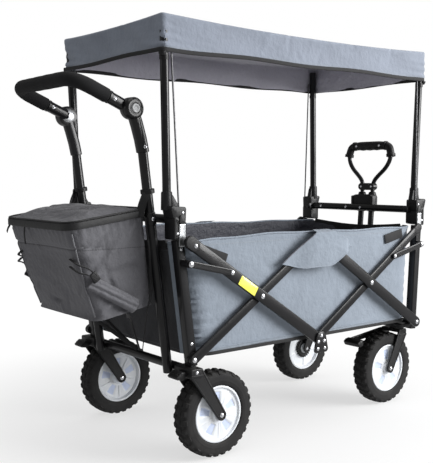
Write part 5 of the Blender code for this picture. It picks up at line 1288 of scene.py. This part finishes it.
BAG_CLOTH = cloth_finish("bag_woven_cloth", (0.122, 0.122, 0.135), crumple=1.3, seams=(0.1480,),
                         thread=(0.05, 0.05, 0.055))
ZIP_BAND = cloth_finish("black_zip_band", (0.008, 0.008, 0.009), 0.0016, 0.6, 0.3, sheen=0.03)
PIPING = cloth_finish("grey_piping", (0.165, 0.165, 0.180), 0.0009, 0.7, 0.3)
BAG_Z = (0.335, 0.540, 0.566)
SAG_FRONT, SAG_SLOPE = 0.3525, 0.18  # the bag's foot slopes down to the rear


def bag_front(z):
    """The bag's front hangs against the push legs."""
    return -0.4532 + 0.026 * (0.566 - z) / 0.231


def bag_ring(level, n=360):
    """Plan points round the bag at one level, 0 at the floor and 1 at the sloping rim, walked evenly from the middle
    of the front."""
    x1 = bag_front(0.335 + level * 0.231)
    x0 = -0.575 + level * (-0.071)
    w = 0.155 - 0.008 * (1 - level)
    turn = np.linspace(0, np.pi / 2, 10)
    line = [np.array([[x1, 0.0]])]
    for cx, cy, r, k in ((x1, w, 0.018, 0), (x0, w, 0.030, 1), (x0, -w, 0.030, 2), (x1, -w, 0.018, 3)):
        sx, sy = (1 if k in (0, 3) else -1), (1 if k < 2 else -1)
        line.append(np.stack([cx - sx * r + r * np.cos(turn + k * np.pi / 2),
                              cy - sy * r + r * np.sin(turn + k * np.pi / 2)], -1))
    line = np.concatenate([*line, np.array([[x1, 0.0]])])
    walk = np.r_[0, np.cumsum(np.hypot(*np.diff(line, axis=0).T))]
    even = np.linspace(0, walk[-1], n + 1)
    return np.stack([np.interp(even, walk, line[:, k]) for k in (0, 1)], -1), even


def rim_z(x):
    """The bag's rim rises in a straight line from its rear to its front."""
    return BAG_Z[1] + (x + 0.646) / (bag_front(0.566) + 0.646) * (BAG_Z[2] - BAG_Z[1])


def bag_skin():
    """Levels run from the middle of the floor out to the lower edge, then up the wall. The wall sags over its lower edge and
    carries creases: gathers under the zip band, diagonals out of the corners, and seeded small ones."""
    lower, walk = bag_ring(0.0)
    inward = np.linspace(0.0, 1, 16)[:, None, None]
    core = np.array([-0.515, 0.0]) + (lower - (-0.515, 0.0)) * (0.0, 0.30)
    flat = core[None] * (1 - inward) + lower[None] * inward
    floor = np.concatenate([flat, SAG_FRONT + SAG_SLOPE * (flat[..., :1] + 0.43)], -1)
    floor[..., 2] += 0.0045 * (1 - inward[...,
                                          0]) + 0.0022 * np.sin(11 * walk[None] * 1.3) * np.sin(np.pi * inward[..., 0])
    rows = np.linspace(0, 1, 56)
    plan = np.stack([bag_ring(r)[0] for r in rows])
    t = rows[:, None]
    foot_z = SAG_FRONT + SAG_SLOPE * (plan[:1, :, 0] + 0.43)
    z = foot_z + t * (rim_z(plan[..., 0]) - foot_z)
    out = unit(np.stack([np.gradient(plan[..., 1], axis=1), -np.gradient(plan[..., 0], axis=1)], -1))
    across = walk[None] + 0 * t
    quarter = walk[-1]
    gathers = 0.0016 * np.sin(2 * np.pi * across / 0.017 + 2 * np.sin(across * 19)) * np.exp(-((1 - t) / 0.10))
    lines = loose_creases(17, 90, (0, quarter), (0.02, 0.2), (0.03, 0.10), (0.0012, 0.0040), (0.004, 0.010), 0.6, 0.9)
    pulled = creased(across, z - BAG_Z[0], lines)
    flat_rear = soft_step(-plan[..., 0], 0.590, 0.606)
    push = pulled * (1.25 - 1.0 * flat_rear) + gathers
    for side in (-1, 1):
        on_side = soft_step(side * plan[..., 1], 0.135, 0.147)
        fan = [(-0.585, 0.425, -0.500, 0.520, 0.0050, 0.007), (-0.580, 0.420, -0.455, 0.450, -0.0045, 0.008),
               (-0.470, 0.380, -0.450, 0.520, 0.0040, 0.007),
               (-0.600, 0.470, -0.530, 0.540, -0.0040, 0.006), (-0.580, 0.335, -0.520, 0.372, 0.0042, 0.006),
               (-0.480, 0.540, -0.520, 0.470, 0.0040, 0.006)]
        push += creased(plan[..., 0], z, fan) * on_side
    push += 0.0040 * np.sin(across * 23 + 1.2) * np.sin(np.pi * t) - 0.0020
    push -= 0.0060 * np.exp(-(((t - 0.62) / 0.16) ** 2)) * np.exp(-((plan[..., 1] / 0.11) ** 2)) * (plan[...,
        0] < -0.55)
    push -= 0.0100 * (1 - t) ** 2 * (np.abs(np.sin(across * 8)) ** 2)
    push -= 0.0035 * np.exp(-(((z - 0.487) / 0.0035) ** 2)) * (plan[..., 0] < -0.56)
    front = soft_step(plan[..., 0], -0.485, -0.462)
    push = np.clip(push, -0.012, 0.0050) * (1 - front) + np.clip(push, -0.004, 0.0002) * front
    push = push * soft_step(t, -0.02, 0.05)
    wall = np.concatenate([plan + out * push[..., None], z[..., None]], -1)
    floor[-1] = wall[0]
    cut = np.stack([across, z - BAG_Z[0]], -1)
    return floor, wall, cut, out


floor, wall, cut, out = bag_skin()
bag = build("bag_shell", [(floor, 0, floor[..., :2] + 3.0), (wall, 0, cut)], [BAG_CLOTH, LINING_PAINTED_SHADE], "rear_end",
            ["storage_bag"])
skin = bag.modifiers.new("cloth_thickness", "SOLIDIFY")
skin.thickness, skin.offset, skin.material_offset = 0.0014, -1.0, 1
on_bag = []


def on_wall(name, level0, level1, finish, stand=0.0008, thick=0.0012):
    """A tape that runs all the way round between two heights below the rim, standing just off the cloth."""
    plan = bag_ring(1.0)[0]
    way = unit(np.stack([np.gradient(plan[:, 1]), -np.gradient(plan[:, 0])], -1))
    mid = np.concatenate([plan + way * stand, (rim_z(plan[:, 0]) + (level0 + level1) / 2)[:, None]], -1)[:-1]
    return edging(name, mid[::2], outline_box(level1 - level0, thick * 2, 0.0009, 3), finish,
                  loop=True, fold=0)


on_bag.append(on_wall("bag_zip_band", -0.0150, -0.0004, ZIP_BAND, 0.0014, 0.0016))
for k, (tag, side) in enumerate(SIDES):
    corner = np.argmin(np.abs(wall[-1, :, 0] + 0.637) + np.abs(wall[-1, :, 1] - side * 0.146))
    line = wall[2:-6, corner] + np.append(out[2:-6, corner] * 0.0014, np.zeros((48, 1)), 1)
    on_bag.append(edging(f"bag_piping_{tag}", line, outline_ring(0.0019, 10), PIPING, fold=0))
    # The compression strap round each rear corner, and the folded pocket flap on each side.
    for k, (za, zb) in enumerate(((0.4640, 0.4300), (0.4480, 0.4190))):
        cord = rounded([(-0.6225, side * 0.1180, za), (-0.6180, side * 0.1500, za - 0.012),
                        (-0.6020, side * 0.1590, (za + zb) / 2), (-0.5820, side * 0.1598, zb)], 0.014)
        on_bag.append(edging(f"bag_corner_strap_{tag}_{k}", cord, outline_box(0.0026, 0.0062, 0.0010, 3), WEBBING,
                             fold=0))
    buckle = [carried([(-0.5925, side * 0.1600, 0.4360), (-0.5800, side * 0.1600, 0.4180)],
                      outline_box(0.0044, 0.0180, 0.0018), (0, 1, 0), 0.0010)]
    on_bag.append(build(f"bag_strap_buckle_{tag}", buckle, [BLACK_PLASTIC], "rear_end"))
    # The folded gusset: a long flat fold that stands off the side, with three soft ridges along it.
    a, b = np.linspace(0, 1, 60)[None, :], np.linspace(0, 1, 34)[:, None]
    quad = [np.array(q) for q in ((-0.5830, 0.4270), (-0.4710, 0.3670), (-0.4890, 0.3390), (-0.6020, 0.4030))]
    flat = (quad[0] * (1 - a[..., None]) + quad[1] * a[..., None]) * (1 - b[..., None]) + (quad[3] * (1 - a[...,
        None]) + quad[2] * a[..., None]) * b[..., None]
    rise = 0.0085 * (np.sin(np.pi * np.clip(b * 1.05, 0, 1)) ** 0.45) * (1 - 0.25 * np.abs(2 * a - 1) ** 6)
    stand = 0.1500 + rise + 0.0016 * np.sin(16 * b + 2 * a) * np.sin(np.pi * b) + 0.0008 * np.sin(30 * a + 5 * b)
    stand = np.where(b > 0.93, 0.1500 + rise * 0.4, stand)
    pocket = build(f"bag_side_flap_{tag}", [(np.stack([flat[..., 0], side * (stand + 0 * a), flat[..., 1]], -1), 0,
                                             flat)], [BAG_CLOTH], "rear_end", closed=False)
    thick = pocket.modifiers.new("cloth_thickness", "SOLIDIFY")
    thick.thickness, thick.offset = 0.0016, 0.0
    on_bag.append(pocket)
    # The hanging strap from the push leg to the rim, with its black ring; then the side and foot straps.
    hang = [(-0.4560, side * 0.1600, 0.6020), (-0.4680, side * 0.1600, 0.5760), (-0.4740, side * 0.1590, 0.5500)]
    on_bag.append(edging(f"bag_hanger_{tag}", rounded(hang, 0.008), outline_box(0.0022, 0.0180, 0.0009, 3), WEBBING,
                         flat=(-0.6, side * 0.8, 0), fold=0))
    ring = turned([(0.0112, -0.0050), (0.0150, -0.0050), (0.0158, -0.0040), (0.0158, 0.0040), (0.0150, 0.0050),
                   (0.0112, 0.0050), (0.0112, -0.0050)],
                  (-0.4471, side * 0.150, 0.6050), (-0.13, 0, 1), 28)
    on_bag.append(build(f"bag_leg_ring_{tag}", [ring], [BLACK_PLASTIC], "rear_end"))
    lows = ((("side", (-0.4590, side * 0.1585, 0.5480), (-0.4480, side * 0.1590, 0.4700),
              (-0.4430, side * 0.1575, 0.3800), (-0.4520, side * 0.1540, 0.3440), (-0.3745, side * 0.014, 0.2160)),
              0.0066),
            (("foot", (-0.5050, side * 0.1500, 0.3350), (-0.4900, side * 0.1400, 0.3320),
              (-0.3760, side * 0.004, 0.2165)), 0.0100))
    for (word, *low), wide in lows:
        on_bag.append(edging(f"bag_{word}_strap_{tag}", rounded(low, 0.015), outline_box(0.0020, wide, 0.0008, 3),
                             WEBBING, flat=(0.3, side * 0.9, 0.3), fold=0))
pulls = []
for y, z0, z1, lean in ((0.047, 0.5250, 0.4860, 0.0), (0.124, 0.5260, 0.5080, 0.022)):
    line = [(-0.6475, y, z0), (-0.6480, y + lean * 0.5, (z0 + z1) / 2), (-0.6455, y + lean, z1)]
    pulls.append(edging(f"bag_zip_pull_{len(pulls)}", rounded(line, 0.006), outline_box(0.0016, 0.0062, 0.0007, 3),
                        WEBBING, flat=(1, 0, 0), fold=0))
on_bag += pulls
seam_plan = wall[np.argmin(np.abs(wall[:, 180, 2] - 0.486)), 118:243] + (-0.0004, 0, 0)
on_bag.append(edging("bag_rear_seam", seam_plan[::2], outline_box(0.0042, 0.0018, 0.0008, 3), PIPING,
                     fold=0))

# The lid: a crowned sheet with its own crumples, hinged where it meets the front rim.
rim_plan, walk = bag_ring(1.0)
share = np.linspace(0, 1, 34)[:, None, None]
core = np.array([-0.547, 0.0]) + (rim_plan - (-0.547, 0.0)) * (0.0, 0.62)
plan = rim_plan[None] * (1 - share) + core[None] * share
base = rim_z(plan[..., 0])
crown = 0.0135 * soft_step(share[..., 0], 0, 0.70)
dents = creased(plan[..., 0], plan[..., 1], loose_creases(29, 46, (-0.64, -0.45), (-0.15, 0.15), (0.03, 0.12),
                                                          (0.0010, 0.0026), (0.005, 0.012)))
height = base + 0.0012 + np.clip(crown + dents * soft_step(share[..., 0], 0.02, 0.25), 0, 0.0150)
lid_top = np.concatenate([plan, height[..., None]], -1)
skirt = np.concatenate([rim_plan, (rim_z(rim_plan[:, 0]) + 0.0004)[:, None]], -1)[None]
lid = build("bag_lid_cloth", [(np.concatenate([skirt, lid_top]), 0, np.concatenate([skirt, lid_top])[..., :2])],
            [BAG_CLOTH, LINING_PAINTED_SHADE], "lid", ["bag_lid"])
skin = lid.modifiers.new("cloth_thickness", "SOLIDIFY")
skin.thickness, skin.offset, skin.material_offset = 0.0012, -1.0, 1
edge_line = np.concatenate([rim_plan, (rim_z(rim_plan[:, 0]) + 0.0022)[:, None]], -1)[:-1]
lid_piping = edging("bag_lid_piping", edge_line[::2], outline_ring(0.0021, 10), ZIP_BAND, "lid",
                    loop=True, fold=0)
